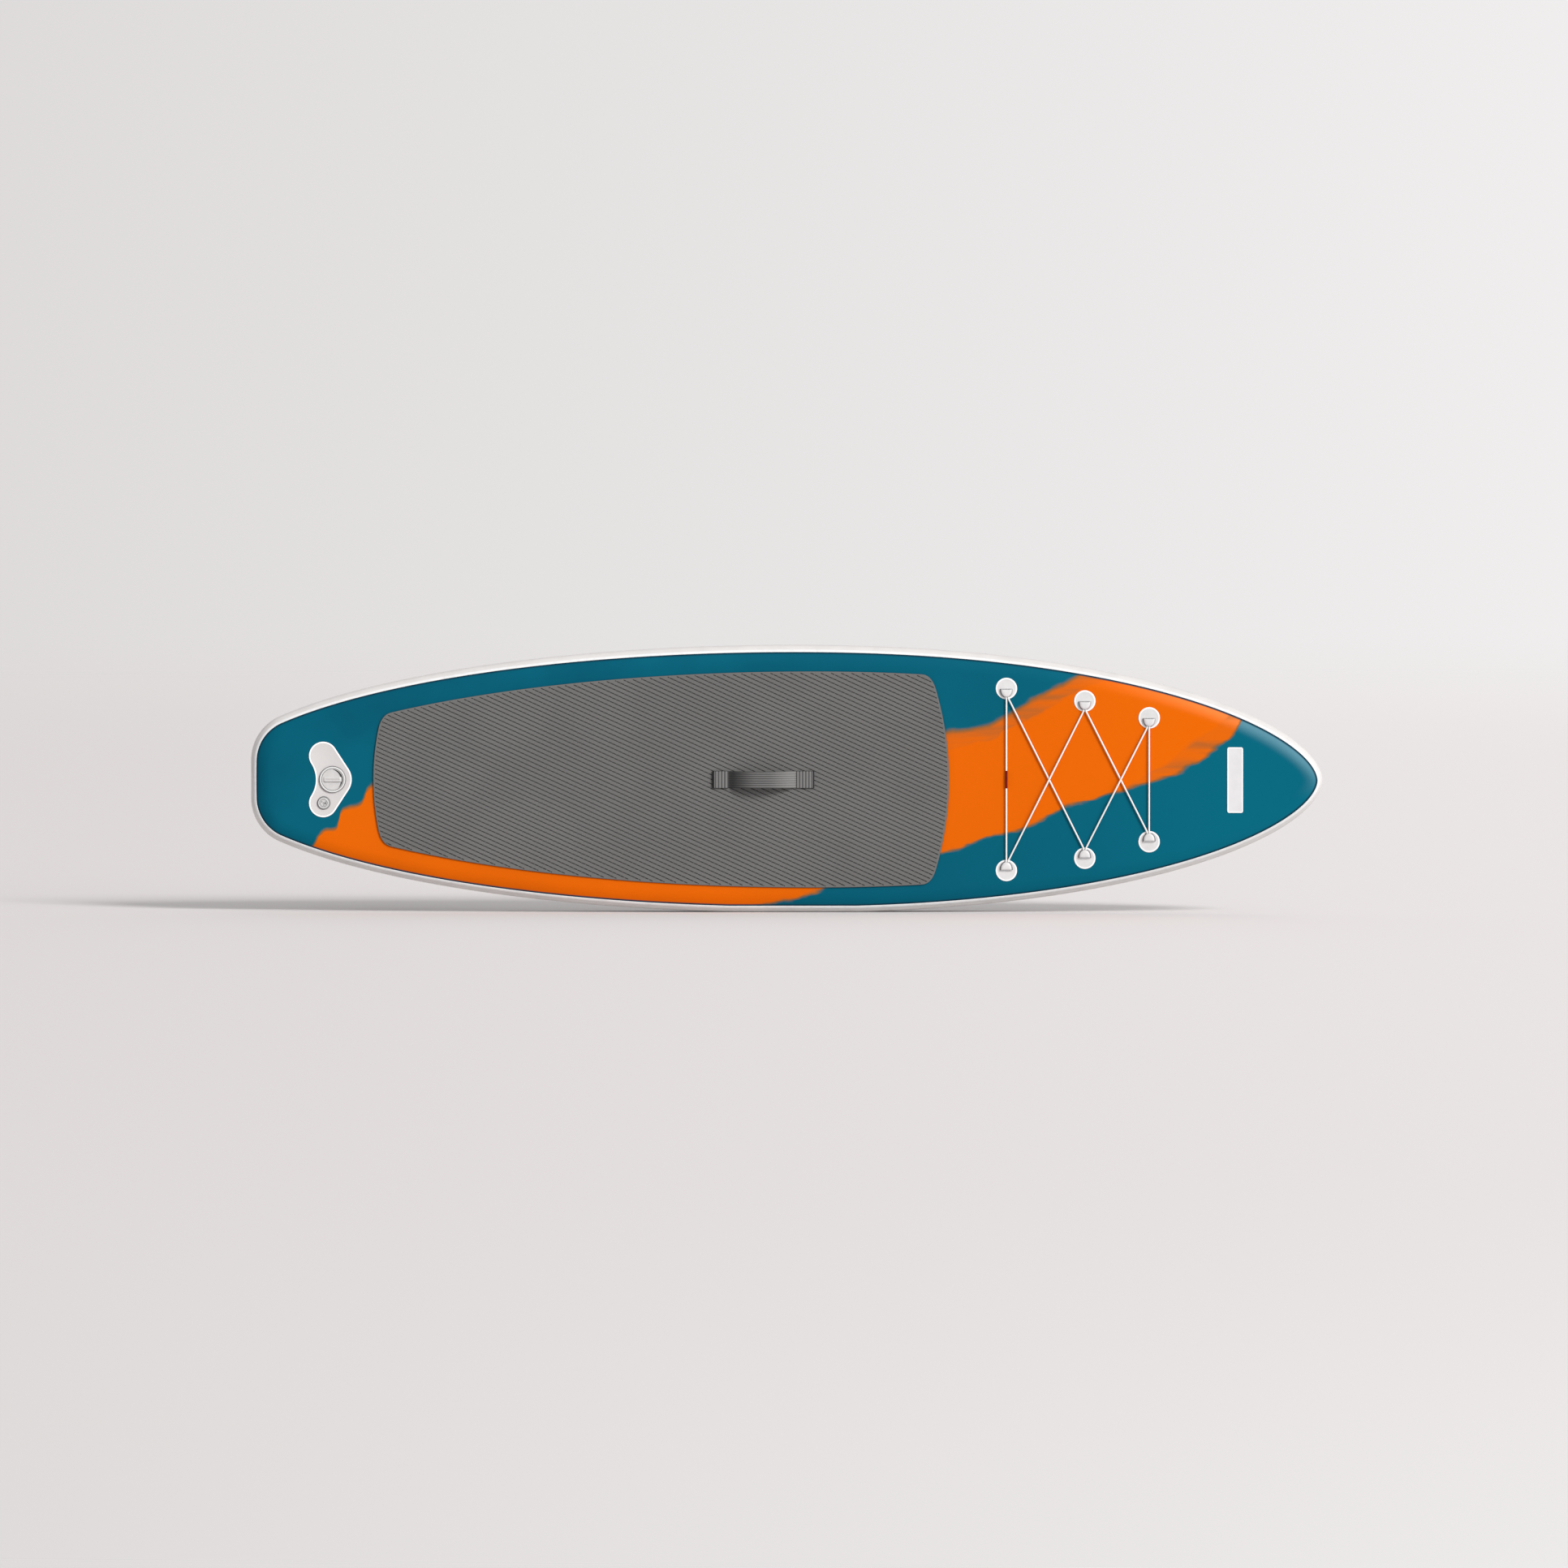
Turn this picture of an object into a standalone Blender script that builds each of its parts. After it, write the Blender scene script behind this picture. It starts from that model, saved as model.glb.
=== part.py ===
"""Inflatable stand-up paddle board with its deck fittings, valves and fins.

The board is modelled lying flat under the empty "board": nose to +X, deck to +Z.
The empty turns it onto its long side, so the deck faces -Y and the floor is z = 0.
"""

import math

import bmesh
import bpy
import numpy as np
from mathutils import Matrix, Vector

# Hull form
LENGTH = 3.200
HALF_WIDTH = 0.400
THICKNESS = 0.150
WIDEST_X = 0.020
NOSE_P = 2.13
NOSE_Q = 1.80
TAIL_SEMI = 1.735
TAIL_CORNER_R = 0.140
STANDING_FLAT = 0.0024
BESIDE_WIDEST = 0.060
RAIL_FLAT = 0.030
SHOULDER_RUN = 0.061
NOSE_RUN_LESS = 0.021
ROCKER_START = 0.50
ROCKER_RISE = 0.110
ROCKER_POWER = 2.2
NOSE_STEPS = 17
TAIL_STEPS = 7
CORNER_STEPS = 5

# Layers, thicknesses and gaps
GAP = 0.0003
SKIN = 0.0015
CLOTH = 0.0012
TAPE = 0.0012
JOINT_IN = 0.0165
JOINT_GAP = 0.0006
TAPE_GAP = 0.0006
TAPE_FROM = 0.013
TAPE_TO = 0.020
TIP_LESS = 0.0035
TIP_REACH = 0.12
THREAD = 0.005
THREAD_PITCH_X = 0.235
THREAD_PITCH_Y = 0.125

# Deck fittings
PAD_THICK = 0.005
PAD_INSET = 0.074
PAD_TAPER = 0.0075
PAD_REAR = (-1.2345, -1.2095)
PAD_FRONT = (0.486, 0.433)
PAD_CORNER = 0.041
HANDLE_X = -0.0715
HANDLE_WIDTH = 0.050
STRAP = 0.0028
PATCH_R = 0.032
PATCH_THICK = 0.0015
SEAT = 0.0006
GUIDE_AT = ((0.657, 0.272), (0.891, 0.235), (1.083, 0.185))
GUIDE_W = 0.039
GUIDE_L = 0.028
GUIDE_H = 0.0096
PEG_R = 0.002
PEG_IN = 0.0135
CORD_R = 0.0025
CORD_H = 0.0055
CROSS_LIFT = 0.0058
MOUTH_IN = 0.0285
STRAND = 0.00275
JOINER_LEN = 0.0525
JOINER_R = 0.0032
NOSE_PLATE = (0.047, 0.196)
NOSE_PLATE_X = 1.339

# Valves
VALVE_X = -1.356
RELIEF_AT = (-1.382, -0.070)
LOBE_AT = (-1.384, 0.0705)
LOBE_R = 0.0425
VALVE_LOBE_R = 0.0575
WAIST_X = -1.406
BARREL_HOLE_R = 0.0223
RELIEF_HOLE_R = 0.0123

# Fins
FIN_X = -1.185
BOX_SIZE = (0.280, 0.034, 0.0239)
SLOT = (0.250, 0.0098)
GROOVE = (0.230, 0.0160, 0.009, 0.016)
FIN_DEPTH = 0.240
FIN_ROOT = (-1.100, 0.175)
BLADE_TOP = 0.0265
TAB_X = -1.195
TAB_SIZE = (0.134, 0.0090, 0.0245)
EAR_X = -1.126
EAR_SIZE = (0.040, 0.0090, 0.0030)
EAR_DEPTH = 0.0180
SCREW_X = -1.117
NUT_DEPTH = 0.0142
PIN_X = -1.250
PIN_DEPTH = 0.0125
PIN_R = 0.0024
SIDE_FIN_AT = (-1.100, 0.165)
SIDE_FIN_TOE = 2
SIDE_FIN_LEAN = 0.087

DECK_Z = THICKNESS / 2
SIDE = HALF_WIDTH - STANDING_FLAT
ON_PATCH = GAP + PATCH_THICK + GAP

for old in list(bpy.data.objects):
    bpy.data.objects.remove(old, do_unlink=True)

parts = bpy.data.collections.new("paddle_board")
cutters = bpy.data.collections.new("cutters")
bpy.context.scene.collection.children.link(parts)
bpy.context.scene.collection.children.link(cutters)

board = bpy.data.objects.new("board", None)
board.location = (0, 0, SIDE)
board.rotation_euler = (math.pi / 2, 0, 0)
parts.objects.link(board)


def material(name, color, roughness, metallic=0.0):
    mat = bpy.data.materials.new(name)
    mat.use_nodes = True
    shader = mat.node_tree.nodes["Principled BSDF"]
    shader.inputs["Base Color"].default_value = (*color, 1)
    shader.inputs["Roughness"].default_value = roughness
    shader.inputs["Metallic"].default_value = metallic
    return mat


TEAL = material("teal_print", (0.003, 0.115, 0.195), 0.35)
WHITE = material("white_pvc", (0.78, 0.76, 0.75), 0.40)
RAIL_WHITE = material("rail_pvc", (0.70, 0.69, 0.68), 0.42)
TAPE_WHITE = material("tape_pvc", (0.86, 0.86, 0.86), 0.35)
CLOTH_GREY = material("drop_stitch_cloth", (0.62, 0.62, 0.58), 0.90)
FOAM_GREY = material("deck_foam", (0.16, 0.16, 0.155), 0.90)
STRAP_GREY = material("strap_webbing", (0.20, 0.20, 0.20), 0.85)
END_GREY = material("handle_end", (0.12, 0.12, 0.12), 0.80)
CORD_WHITE = material("cord_cover", (0.86, 0.86, 0.84), 0.75)
CORD_RED = material("joiner_red", (0.13, 0.004, 0.003), 0.45)
VALVE_WHITE = material("valve_plastic", (0.72, 0.72, 0.72), 0.35)
RUBBER_BLACK = material("seal_rubber", (0.03, 0.03, 0.03), 0.80)
STEEL = material("spring_steel", (0.60, 0.60, 0.60), 0.35, 1.0)
BRASS = material("brass", (0.70, 0.50, 0.22), 0.35, 1.0)
FIN_BLACK = material("fin_plastic", (0.02, 0.02, 0.022), 0.45)


def rocker(x):
    """Rise of the board towards the nose."""
    if x <= ROCKER_START:
        return 0.0
    return ROCKER_RISE * ((x - ROCKER_START) / (LENGTH / 2 - ROCKER_START)) ** ROCKER_POWER


def new_object(name, mesh, mat, collection=parts, at=(0, 0, 0), turn=(0, 0, 0)):
    obj = bpy.data.objects.new(name, mesh)
    collection.objects.link(obj)
    obj.location = at
    obj.rotation_euler = turn
    if collection is parts:
        obj.parent = board
        mesh.materials.clear()
        mesh.materials.append(mat)
    else:
        obj.hide_render = True
        obj.display_type = "WIRE"
    return obj


def evaluated_mesh(obj):
    """The object's mesh with its modifiers in it and its loose caps welded."""
    bpy.context.view_layer.update()
    graph = bpy.context.evaluated_depsgraph_get()
    mesh = bpy.data.meshes.new_from_object(obj.evaluated_get(graph))
    bm = bmesh.new()
    bm.from_mesh(mesh)
    bmesh.ops.remove_doubles(bm, verts=bm.verts, dist=1e-6)
    bm.to_mesh(mesh)
    bm.free()
    return mesh


def freeze(obj):
    """Put the object's modifiers into its own mesh."""
    mesh = evaluated_mesh(obj)
    obj.modifiers.clear()
    obj.data = mesh
    return obj


def smooth(obj, angle=35):
    obj.data.shade_smooth()
    obj.data.set_sharp_from_angle(angle=math.radians(angle))
    return obj


def from_bmesh(name, bm, mat, collection=parts, at=(0, 0, 0), turn=(0, 0, 0)):
    mesh = bpy.data.meshes.new(name)
    bm.to_mesh(mesh)
    bm.free()
    return new_object(name, mesh, mat, collection, at, turn)


def lathe(name, profile, mat, at, steps=28, turn=(0, 0, 0), collection=parts):
    """Turn a profile of (radius, height) points about the local Z axis."""
    bm = bmesh.new()
    verts = [bm.verts.new((r, 0, z)) for r, z in profile]
    for a, b in zip(verts, verts[1:]):
        bm.edges.new((a, b))
    if profile[0][0] > 0:
        bm.edges.new((verts[-1], verts[0]))
    obj = from_bmesh(name, bm, mat, collection, at, turn)
    screw = obj.modifiers.new("Screw", "SCREW")
    screw.steps = steps
    screw.render_steps = steps
    screw.use_merge_vertices = True
    screw.merge_threshold = 0.00001
    freeze(obj)
    return smooth(obj)


def curve_to_mesh(curve_obj):
    """A mesh object in place of the curve, caps welded."""
    mesh = evaluated_mesh(curve_obj)
    name = curve_obj.name
    mat = curve_obj.data.materials[0] if curve_obj.data.materials else None
    at = curve_obj.location.copy()
    turn = curve_obj.rotation_euler.copy()
    home = parts if curve_obj.name in parts.objects else cutters
    bpy.data.objects.remove(curve_obj, do_unlink=True)
    return new_object(name, mesh, mat, home, at, turn)


def plate(name, outline, thickness, mat, at=(0, 0, 0), turn=(0, 0, 0), edge=0.0,
          segments=2, collection=parts):
    """Flat outline of (x, y) points with the given thickness, resting on local z = 0."""
    data = bpy.data.curves.new(name, "CURVE")
    data.dimensions = "2D"
    data.fill_mode = "BOTH"
    data.extrude = thickness / 2
    spline = data.splines.new("POLY")
    spline.points.add(len(outline) - 1)
    for point, (x, y) in zip(spline.points, outline):
        point.co = (x, y, 0, 1)
    spline.use_cyclic_u = True
    data.materials.append(mat)
    obj = bpy.data.objects.new(name, data)
    collection.objects.link(obj)
    obj.location = at
    obj.rotation_euler = turn
    obj = curve_to_mesh(obj)
    obj.data.transform(Matrix.Translation((0, 0, thickness / 2)))
    if edge:
        bevel = obj.modifiers.new("Bevel", "BEVEL")
        bevel.width = edge
        bevel.segments = segments
        bevel.limit_method = "ANGLE"
        bevel.angle_limit = math.radians(60)
        freeze(obj)
    return smooth(obj)


def wire(name, points, radius, mat, resolution, at=(0, 0, 0)):
    """Round wire along the points."""
    data = bpy.data.curves.new(name, "CURVE")
    data.dimensions = "3D"
    data.bevel_depth = radius
    data.bevel_resolution = resolution
    data.use_fill_caps = True
    spline = data.splines.new("POLY")
    spline.points.add(len(points) - 1)
    for point, p in zip(spline.points, points):
        point.co = (*p, 1)
    data.materials.append(mat)
    obj = bpy.data.objects.new(name, data)
    parts.objects.link(obj)
    obj.location = at
    return smooth(curve_to_mesh(obj), 50)


def box(name, size, at, mat=None, collection=cutters, turn=(0, 0, 0)):
    bm = bmesh.new()
    bmesh.ops.create_cube(bm, size=1.0)
    bmesh.ops.scale(bm, verts=bm.verts, vec=size)
    return from_bmesh(name, bm, mat, collection, at, turn)


def drum(name, radius, height, at, turn=(0, 0, 0), sides=24, mat=None, collection=cutters):
    bm = bmesh.new()
    bmesh.ops.create_cone(bm, cap_ends=True, segments=sides, radius1=radius,
                          radius2=radius, depth=height)
    return from_bmesh(name, bm, mat, collection, at, turn)


def combine(obj, tool, operation):
    """Cut the tool from the object, or join it on, and put the tool away."""
    if tool.parent is None and obj.parent is board:
        tool.parent = board
    mod = obj.modifiers.new("Boolean", "BOOLEAN")
    mod.operation = operation
    mod.solver = "EXACT"
    mod.object = tool
    freeze(obj)
    bpy.data.objects.remove(tool, do_unlink=True)
    return obj


def settle(obj):
    """Bend a deck fitting to the nose rocker, from where it was laid on the flat deck."""
    base = rocker(obj.location.x)
    turn = obj.rotation_euler.to_matrix()
    for vert in obj.data.vertices:
        x = obj.location.x + (turn @ vert.co).x
        vert.co.z += rocker(x) - base
    obj.location.z += base
    return obj


def rounded(points, radius, steps=5):
    """Round the corners of an outline that turn by more than 25 degrees."""
    result = []
    count = len(points)
    for i in range(count):
        a = Vector(points[i - 1])
        b = Vector(points[i])
        c = Vector(points[(i + 1) % count])
        into = (a - b).normalized()
        out = (c - b).normalized()
        turn = math.pi - into.angle(out)
        if turn < math.radians(25):
            result.append(tuple(b))
            continue
        reach = min(radius * math.tan(turn / 2), 0.45 * (a - b).length, 0.45 * (c - b).length)
        start = b + into * reach
        end = b + out * reach
        for k in range(steps + 1):
            t = k / steps
            p = start * (1 - t) ** 2 + b * 2 * t * (1 - t) + end * t ** 2
            result.append(tuple(p))
    return result


def rectangle(length, width, radius, steps=5):
    x = length / 2
    y = width / 2
    return rounded([(-x, -y), (x, -y), (x, y), (-x, y)], radius, steps)


def tail_fillet():
    """Angle on the tail ellipse where the corner arc starts, and the arc's centre."""
    def centre(a):
        x = WIDEST_X - TAIL_SEMI * math.sin(a)
        y = HALF_WIDTH * math.cos(a)
        n = Vector((-math.sin(a) / TAIL_SEMI, math.cos(a) / HALF_WIDTH)).normalized()
        return Vector((x, y)) - n * TAIL_CORNER_R, n

    low = 0.3
    high = 1.5
    for _ in range(60):
        mid = (low + high) / 2
        if centre(mid)[0].x > -LENGTH / 2 + TAIL_CORNER_R:
            low = mid
        else:
            high = mid
    return low, *centre(low)


def nose_point(a):
    reach = LENGTH / 2 - WIDEST_X
    return (WIDEST_X + reach * math.cos(a) ** (2 / NOSE_P),
            HALF_WIDTH * math.sin(a) ** (2 / NOSE_Q))


def tail_point(a):
    return (WIDEST_X - TAIL_SEMI * math.sin(a), HALF_WIDTH * math.cos(a))


def half_outline():
    """Outline of the board's left half, nose tip to the middle of the tail.

    The stations at SIDE from the middle are where the standing flat ends."""
    half = []
    for k in range(NOSE_STEPS):
        half.append(nose_point(math.pi / 2 * (k / NOSE_STEPS) ** 1.35))
    half.append(nose_point(math.asin((SIDE / HALF_WIDTH) ** (NOSE_Q / 2))))
    reach = LENGTH / 2 - WIDEST_X
    half.append(nose_point(math.acos((BESIDE_WIDEST / reach) ** (NOSE_P / 2))))
    half.append(tail_point(math.asin(BESIDE_WIDEST / TAIL_SEMI)))
    last, centre, normal = tail_fillet()
    first = math.acos(SIDE / HALF_WIDTH)
    for k in range(TAIL_STEPS + 1):
        half.append(tail_point(first + (last - first) * k / TAIL_STEPS))
    begin = math.atan2(normal.y, normal.x)
    for k in range(1, CORNER_STEPS + 1):
        a = begin + (math.pi - begin) * k / CORNER_STEPS
        half.append((centre.x + TAIL_CORNER_R * math.cos(a),
                     centre.y + TAIL_CORNER_R * math.sin(a)))
    half.append((-LENGTH / 2, 0.0))
    return half


HALF = half_outline()
LOOP = HALF + [(x, -min(y, SIDE)) for x, y in reversed(HALF[1:-1])]
COUNT = len(LOOP)


def outline_normals():
    normals = []
    for k in range(COUNT):
        ax, ay = LOOP[k - 1]
        bx, by = LOOP[(k + 1) % COUNT]
        normals.append(Vector((by - ay, ax - bx)).normalized())
    return normals


NORMALS = outline_normals()


def shoulder(k):
    """How far in from the outline the deck's flat begins at this station."""
    x, y = LOOP[k]
    if x < 0:
        return SHOULDER_RUN
    return SHOULDER_RUN - NOSE_RUN_LESS * math.exp(-(y / TIP_REACH) ** 2)


def rail_point(k, angle, depth, side):
    """Point on the rounded rail: angle 0 on the side wall, a quarter turn on the deck."""
    run = shoulder(k) - depth
    inset = depth + run * (1 - math.cos(angle))
    rise = RAIL_FLAT + (DECK_Z - RAIL_FLAT - depth) * math.sin(angle)
    x, y = LOOP[k]
    px = x - NORMALS[k].x * inset
    py = y - NORMALS[k].y * inset
    return (px, py, side * rise + rocker(px))


def angle_at(k, inset):
    """Angle where the rail has come in by inset, or by a little less at the board's two tips."""
    less = TIP_LESS * math.exp(-(LOOP[k][1] / TIP_REACH) ** 2)
    return math.acos(1 - (inset - less) / shoulder(k))


def shell(name, bm, thickness, mat):
    """Give an open surface that faces out its thickness, inwards."""
    bmesh.ops.recalc_face_normals(bm, faces=bm.faces)
    facing = 0.0
    for face in bm.faces:
        centre = face.calc_center_median()
        centre.z -= rocker(centre.x)
        facing += face.normal.dot(centre) * face.calc_area()
    if facing < 0:
        bmesh.ops.reverse_faces(bm, faces=bm.faces)
    obj = from_bmesh(name, bm, mat)
    solid = obj.modifiers.new("Solidify", "SOLIDIFY")
    solid.thickness = thickness
    solid.offset = -1
    solid.use_even_offset = True
    freeze(obj)
    return smooth(obj, 30)


def ring_surface(rows):
    """Faces between rings of points, each ring running round the board."""
    bm = bmesh.new()
    rings = [[bm.verts.new(p) for p in row] for row in rows]
    for a, b in zip(rings, rings[1:]):
        for k in range(COUNT):
            n = (k + 1) % COUNT
            bm.faces.new((a[k], a[n], b[n], b[k]))
    return bm, rings


def close_plane(bm, ring):
    """Cross strips from the left half of a ring to its right half."""
    half = COUNT // 2
    bm.faces.new((ring[0], ring[1], ring[COUNT - 1]))
    for k in range(1, half - 1):
        bm.faces.new((ring[k], ring[k + 1], ring[COUNT - k - 1], ring[COUNT - k]))
    bm.faces.new((ring[half - 1], ring[half], ring[half + 1]))


def skin(name, side, mat):
    """Laminate over one face of the board, down its shoulder to the joint."""
    rows = []
    for j in range(4):
        row = []
        for k in range(COUNT):
            low = angle_at(k, JOINT_IN + JOINT_GAP)
            row.append(rail_point(k, low + (math.pi / 2 - low) * j / 3, 0.0, side))
        rows.append(row)
    bm, rings = ring_surface(rows)
    close_plane(bm, rings[-1])
    return shell(name, bm, SKIN, mat)


def band(name, angles, depth, thickness, mat):
    """Band round the rail: each entry of angles gives (side, angle) for a station."""
    rows = []
    for side, angle in angles:
        rows.append([rail_point(k, angle(k), depth, side) for k in range(COUNT)])
    bm, _ = ring_surface(rows)
    return shell(name, bm, thickness, mat)


def part_way(inset, share):
    return lambda k: angle_at(k, inset) * share


def between(low, high, share):
    return lambda k: angle_at(k, low) + (angle_at(k, high) - angle_at(k, low)) * share


# Skins, rail band, tapes and side strip
deck_skin = skin("deck_skin", 1, TEAL)
hull_skin = skin("hull_skin", -1, RAIL_WHITE)

joint = JOINT_IN - JOINT_GAP
down = [(1, part_way(joint, share)) for share in (1.0, 0.5, 0.0)]
up = [(-1, part_way(joint, share)) for share in (0.0, 0.5, 1.0)]
band("rail_band", down + up, 0.0, SKIN, RAIL_WHITE)

for name, side in (("seam_tape_deck", 1), ("seam_tape_hull", -1)):
    steps = [(side, between(TAPE_FROM, TAPE_TO, share)) for share in (0.0, 1.0)]
    band(name, steps, -TAPE_GAP - TAPE, TAPE, TAPE_WHITE)


def past_joint(share):
    """An angle from the joint up to the deck, at one of the laminate's own rows."""
    def angle(k):
        low = angle_at(k, JOINT_IN + JOINT_GAP)
        return low + (math.pi / 2 - low) * share
    return angle


climb = [past_joint(1.0), past_joint(2 / 3), part_way(JOINT_IN, 1.0), part_way(joint, 0.0)]
steps = [(1, angle) for angle in climb] + [(-1, angle) for angle in reversed(climb)]
band("sidewall_strip", steps, SKIN + GAP, CLOTH, CLOTH_GREY)


def flat_ring(side, depth):
    """Ring just inside the shoulder, at a depth below the deck or hull face."""
    row = []
    for k in range(COUNT):
        x, y = LOOP[k]
        inset = shoulder(k) + 0.0004
        px = x - NORMALS[k].x * inset
        py = y - NORMALS[k].y * inset
        row.append((px, py, side * (DECK_Z - depth) + rocker(px)))
    return row


def cloth_half(side):
    bm = bmesh.new()
    ring = [bm.verts.new(p) for p in flat_ring(side, SKIN + GAP)]
    close_plane(bm, ring)
    return shell("cloth", bm, CLOTH, CLOTH_GREY)


def half_width_at(x):
    """Half width of the outline at x, read between its points."""
    xs = [p[0] for p in reversed(HALF)]
    ys = [p[1] for p in reversed(HALF)]
    return float(np.interp(x, xs, ys))


def threads():
    """Threads between the two cloths, in rows, clear of the valves."""
    bm = bmesh.new()
    reach = DECK_Z - SKIN - GAP - CLOTH / 2
    for i in range(13):
        x = -1.42 + i * THREAD_PITCH_X
        for j in range(-2, 3):
            y = (j + 0.5 * (i % 2)) * THREAD_PITCH_Y
            if abs(y) > half_width_at(x) - 0.09:
                continue
            if math.hypot(x - VALVE_X, y) < 0.10:
                continue
            made = bmesh.ops.create_cube(bm, size=1.0)
            bmesh.ops.scale(bm, verts=made["verts"], vec=(THREAD, THREAD, 2 * reach))
            bmesh.ops.translate(bm, verts=made["verts"], vec=(x, y, 0))
    for vert in bm.verts:
        vert.co.z += rocker(vert.co.x)
    return from_bmesh("threads", bm, None, cutters)


core = cloth_half(1)
core.name = "drop_stitch_core"
combine(core, cloth_half(-1), "UNION")
combine(core, threads(), "UNION")
for target in (core, deck_skin):
    hole = drum("valve_hole", BARREL_HOLE_R, 0.02, (VALVE_X, 0, DECK_Z), sides=28)
    combine(target, hole, "DIFFERENCE")
    hole = drum("relief_hole", RELIEF_HOLE_R, 0.02, (*RELIEF_AT, DECK_Z), sides=20)
    combine(target, hole, "DIFFERENCE")
smooth(core, 30)
smooth(deck_skin, 30)


def pad_outline():
    """Pad edge: beside the board's sides, a little further in aft, and bowed at the ends."""
    side = []
    for k in range(9):
        x = PAD_REAR[1] + (PAD_FRONT[1] - PAD_REAR[1]) * k / 8
        slope = (half_width_at(x + 0.02) - half_width_at(x - 0.02)) / 0.04
        inset = PAD_INSET + PAD_TAPER * (PAD_FRONT[1] - x)
        side.append((x, half_width_at(x) - inset * math.hypot(1, slope)))
    outline = [(x, -y) for x, y in side]

    def bow(tip, corner, y):
        return [(tip + (corner - tip) * (k / 5) ** 2, y * k / 5) for k in range(-3, 4)]

    outline += bow(PAD_FRONT[0], PAD_FRONT[1], side[-1][1])
    outline += list(reversed(side))
    outline += list(reversed(bow(PAD_REAR[0], PAD_REAR[1], side[0][1])))
    return rounded(outline, PAD_CORNER, 6)


plate("deck_pad", pad_outline(), PAD_THICK, FOAM_GREY, (0, 0, DECK_Z + GAP), edge=0.0012,
      segments=1)

# Carry handle: strap with a raised middle, ends sewn under two patches
pad_top = GAP + PAD_THICK


def strap_outline():
    """Side view of the strap, as a band of even thickness along its centre line."""
    flat = pad_top + GAP + STRAP / 2
    shape = [(-0.1445, 0), (-0.1000, 0), (-0.0930, 0.0038), (-0.0800, 0.0140),
             (-0.0600, 0.0242), (-0.0340, 0.0325), (0, 0.0360), (0.0340, 0.0325),
             (0.0600, 0.0242), (0.0800, 0.0140), (0.0930, 0.0038), (0.1000, 0), (0.1490, 0)]
    xs = [p[0] for p in shape]
    zs = [p[1] for p in shape]
    line = []
    for i in range(len(shape) - 1):
        m0 = (zs[i + 1] - zs[max(i - 1, 0)]) / (xs[i + 1] - xs[max(i - 1, 0)])
        j = min(i + 2, len(shape) - 1)
        m1 = (zs[j] - zs[i]) / (xs[j] - xs[i])
        width = xs[i + 1] - xs[i]
        for k in range(2):
            t = k / 2
            z = ((2 * t ** 3 - 3 * t ** 2 + 1) * zs[i] + (t ** 3 - 2 * t ** 2 + t) * width * m0
                 + (-2 * t ** 3 + 3 * t ** 2) * zs[i + 1] + (t ** 3 - t ** 2) * width * m1)
            line.append(Vector((xs[i] + t * width, max(z, 0) + flat)))
    line.append(Vector((xs[-1], flat)))
    above = []
    below = []
    for i, p in enumerate(line):
        way = (line[min(i + 1, len(line) - 1)] - line[max(i - 1, 0)]).normalized()
        up = Vector((-way.y, way.x)) * STRAP / 2
        above.append(tuple(p + up))
        below.append(tuple(p - up))
    return above + list(reversed(below))


strap = plate("handle_strap", strap_outline(), HANDLE_WIDTH, STRAP_GREY,
              (HANDLE_X, HANDLE_WIDTH / 2, DECK_Z), (math.pi / 2, 0, 0))
end_z = DECK_Z + pad_top + 2 * GAP + STRAP
for name, low, high in (("handle_end_rear", -0.222, -0.175), ("handle_end_front", 0.032, 0.083)):
    plate(name, rectangle(high - low, 0.052, 0.006, 3), 0.0022, END_GREY,
          ((low + high) / 2, 0, end_z), edge=0.0006, segments=1)

# Cord patches and guides
guide_shape = []
for k in range(15):
    a = math.pi * k / 14
    guide_shape.append((GUIDE_W / 2 * math.cos(a), -GUIDE_L * math.sin(a) ** 0.85))


def guide_mesh():
    """D-shaped hood, hollow below, with a notch at its round end and a peg inside."""
    top = plate("hood", guide_shape, 2 * GUIDE_H, VALVE_WHITE, (0, 0, 0), edge=0.0024,
                segments=1, collection=cutters)
    top.data.transform(Matrix.Translation((0, 0, -GUIDE_H)))
    bm = bmesh.new()
    bm.from_mesh(top.data)
    geom = bm.verts[:] + bm.edges[:] + bm.faces[:]
    bmesh.ops.bisect_plane(bm, geom=geom, plane_co=(0, 0, 0), plane_no=(0, 0, 1),
                           clear_inner=True, dist=1e-7)
    rim = [e for e in bm.edges if e.is_boundary]
    bmesh.ops.holes_fill(bm, edges=rim, sides=0)
    bmesh.ops.recalc_face_normals(bm, faces=bm.faces)
    bm.to_mesh(top.data)
    bm.free()
    inner = [(x * 0.870, y * 0.910 - 0.0023 * (1 + y / GUIDE_L)) for x, y in guide_shape]
    hollow = plate("hollow", inner, 0.0172, None, (0, 0, -0.0100), collection=cutters)
    combine(top, hollow, "DIFFERENCE")
    mouth = [(-0.0125, -0.0178), (-0.0200, -0.0320), (0.0200, -0.0320), (0.0125, -0.0178)]
    under = plate("under", mouth, 0.0172, None, (0, 0, -0.0100), collection=cutters)
    combine(top, under, "DIFFERENCE")
    combine(top, box("notch", (0.021, 0.012, 0.02), (0, -0.0295, 0.0100)), "DIFFERENCE")
    peg = drum("peg", PEG_R, 0.0085, (0, -PEG_IN, 0.00425), sides=10)
    combine(top, peg, "UNION")
    return top


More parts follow.
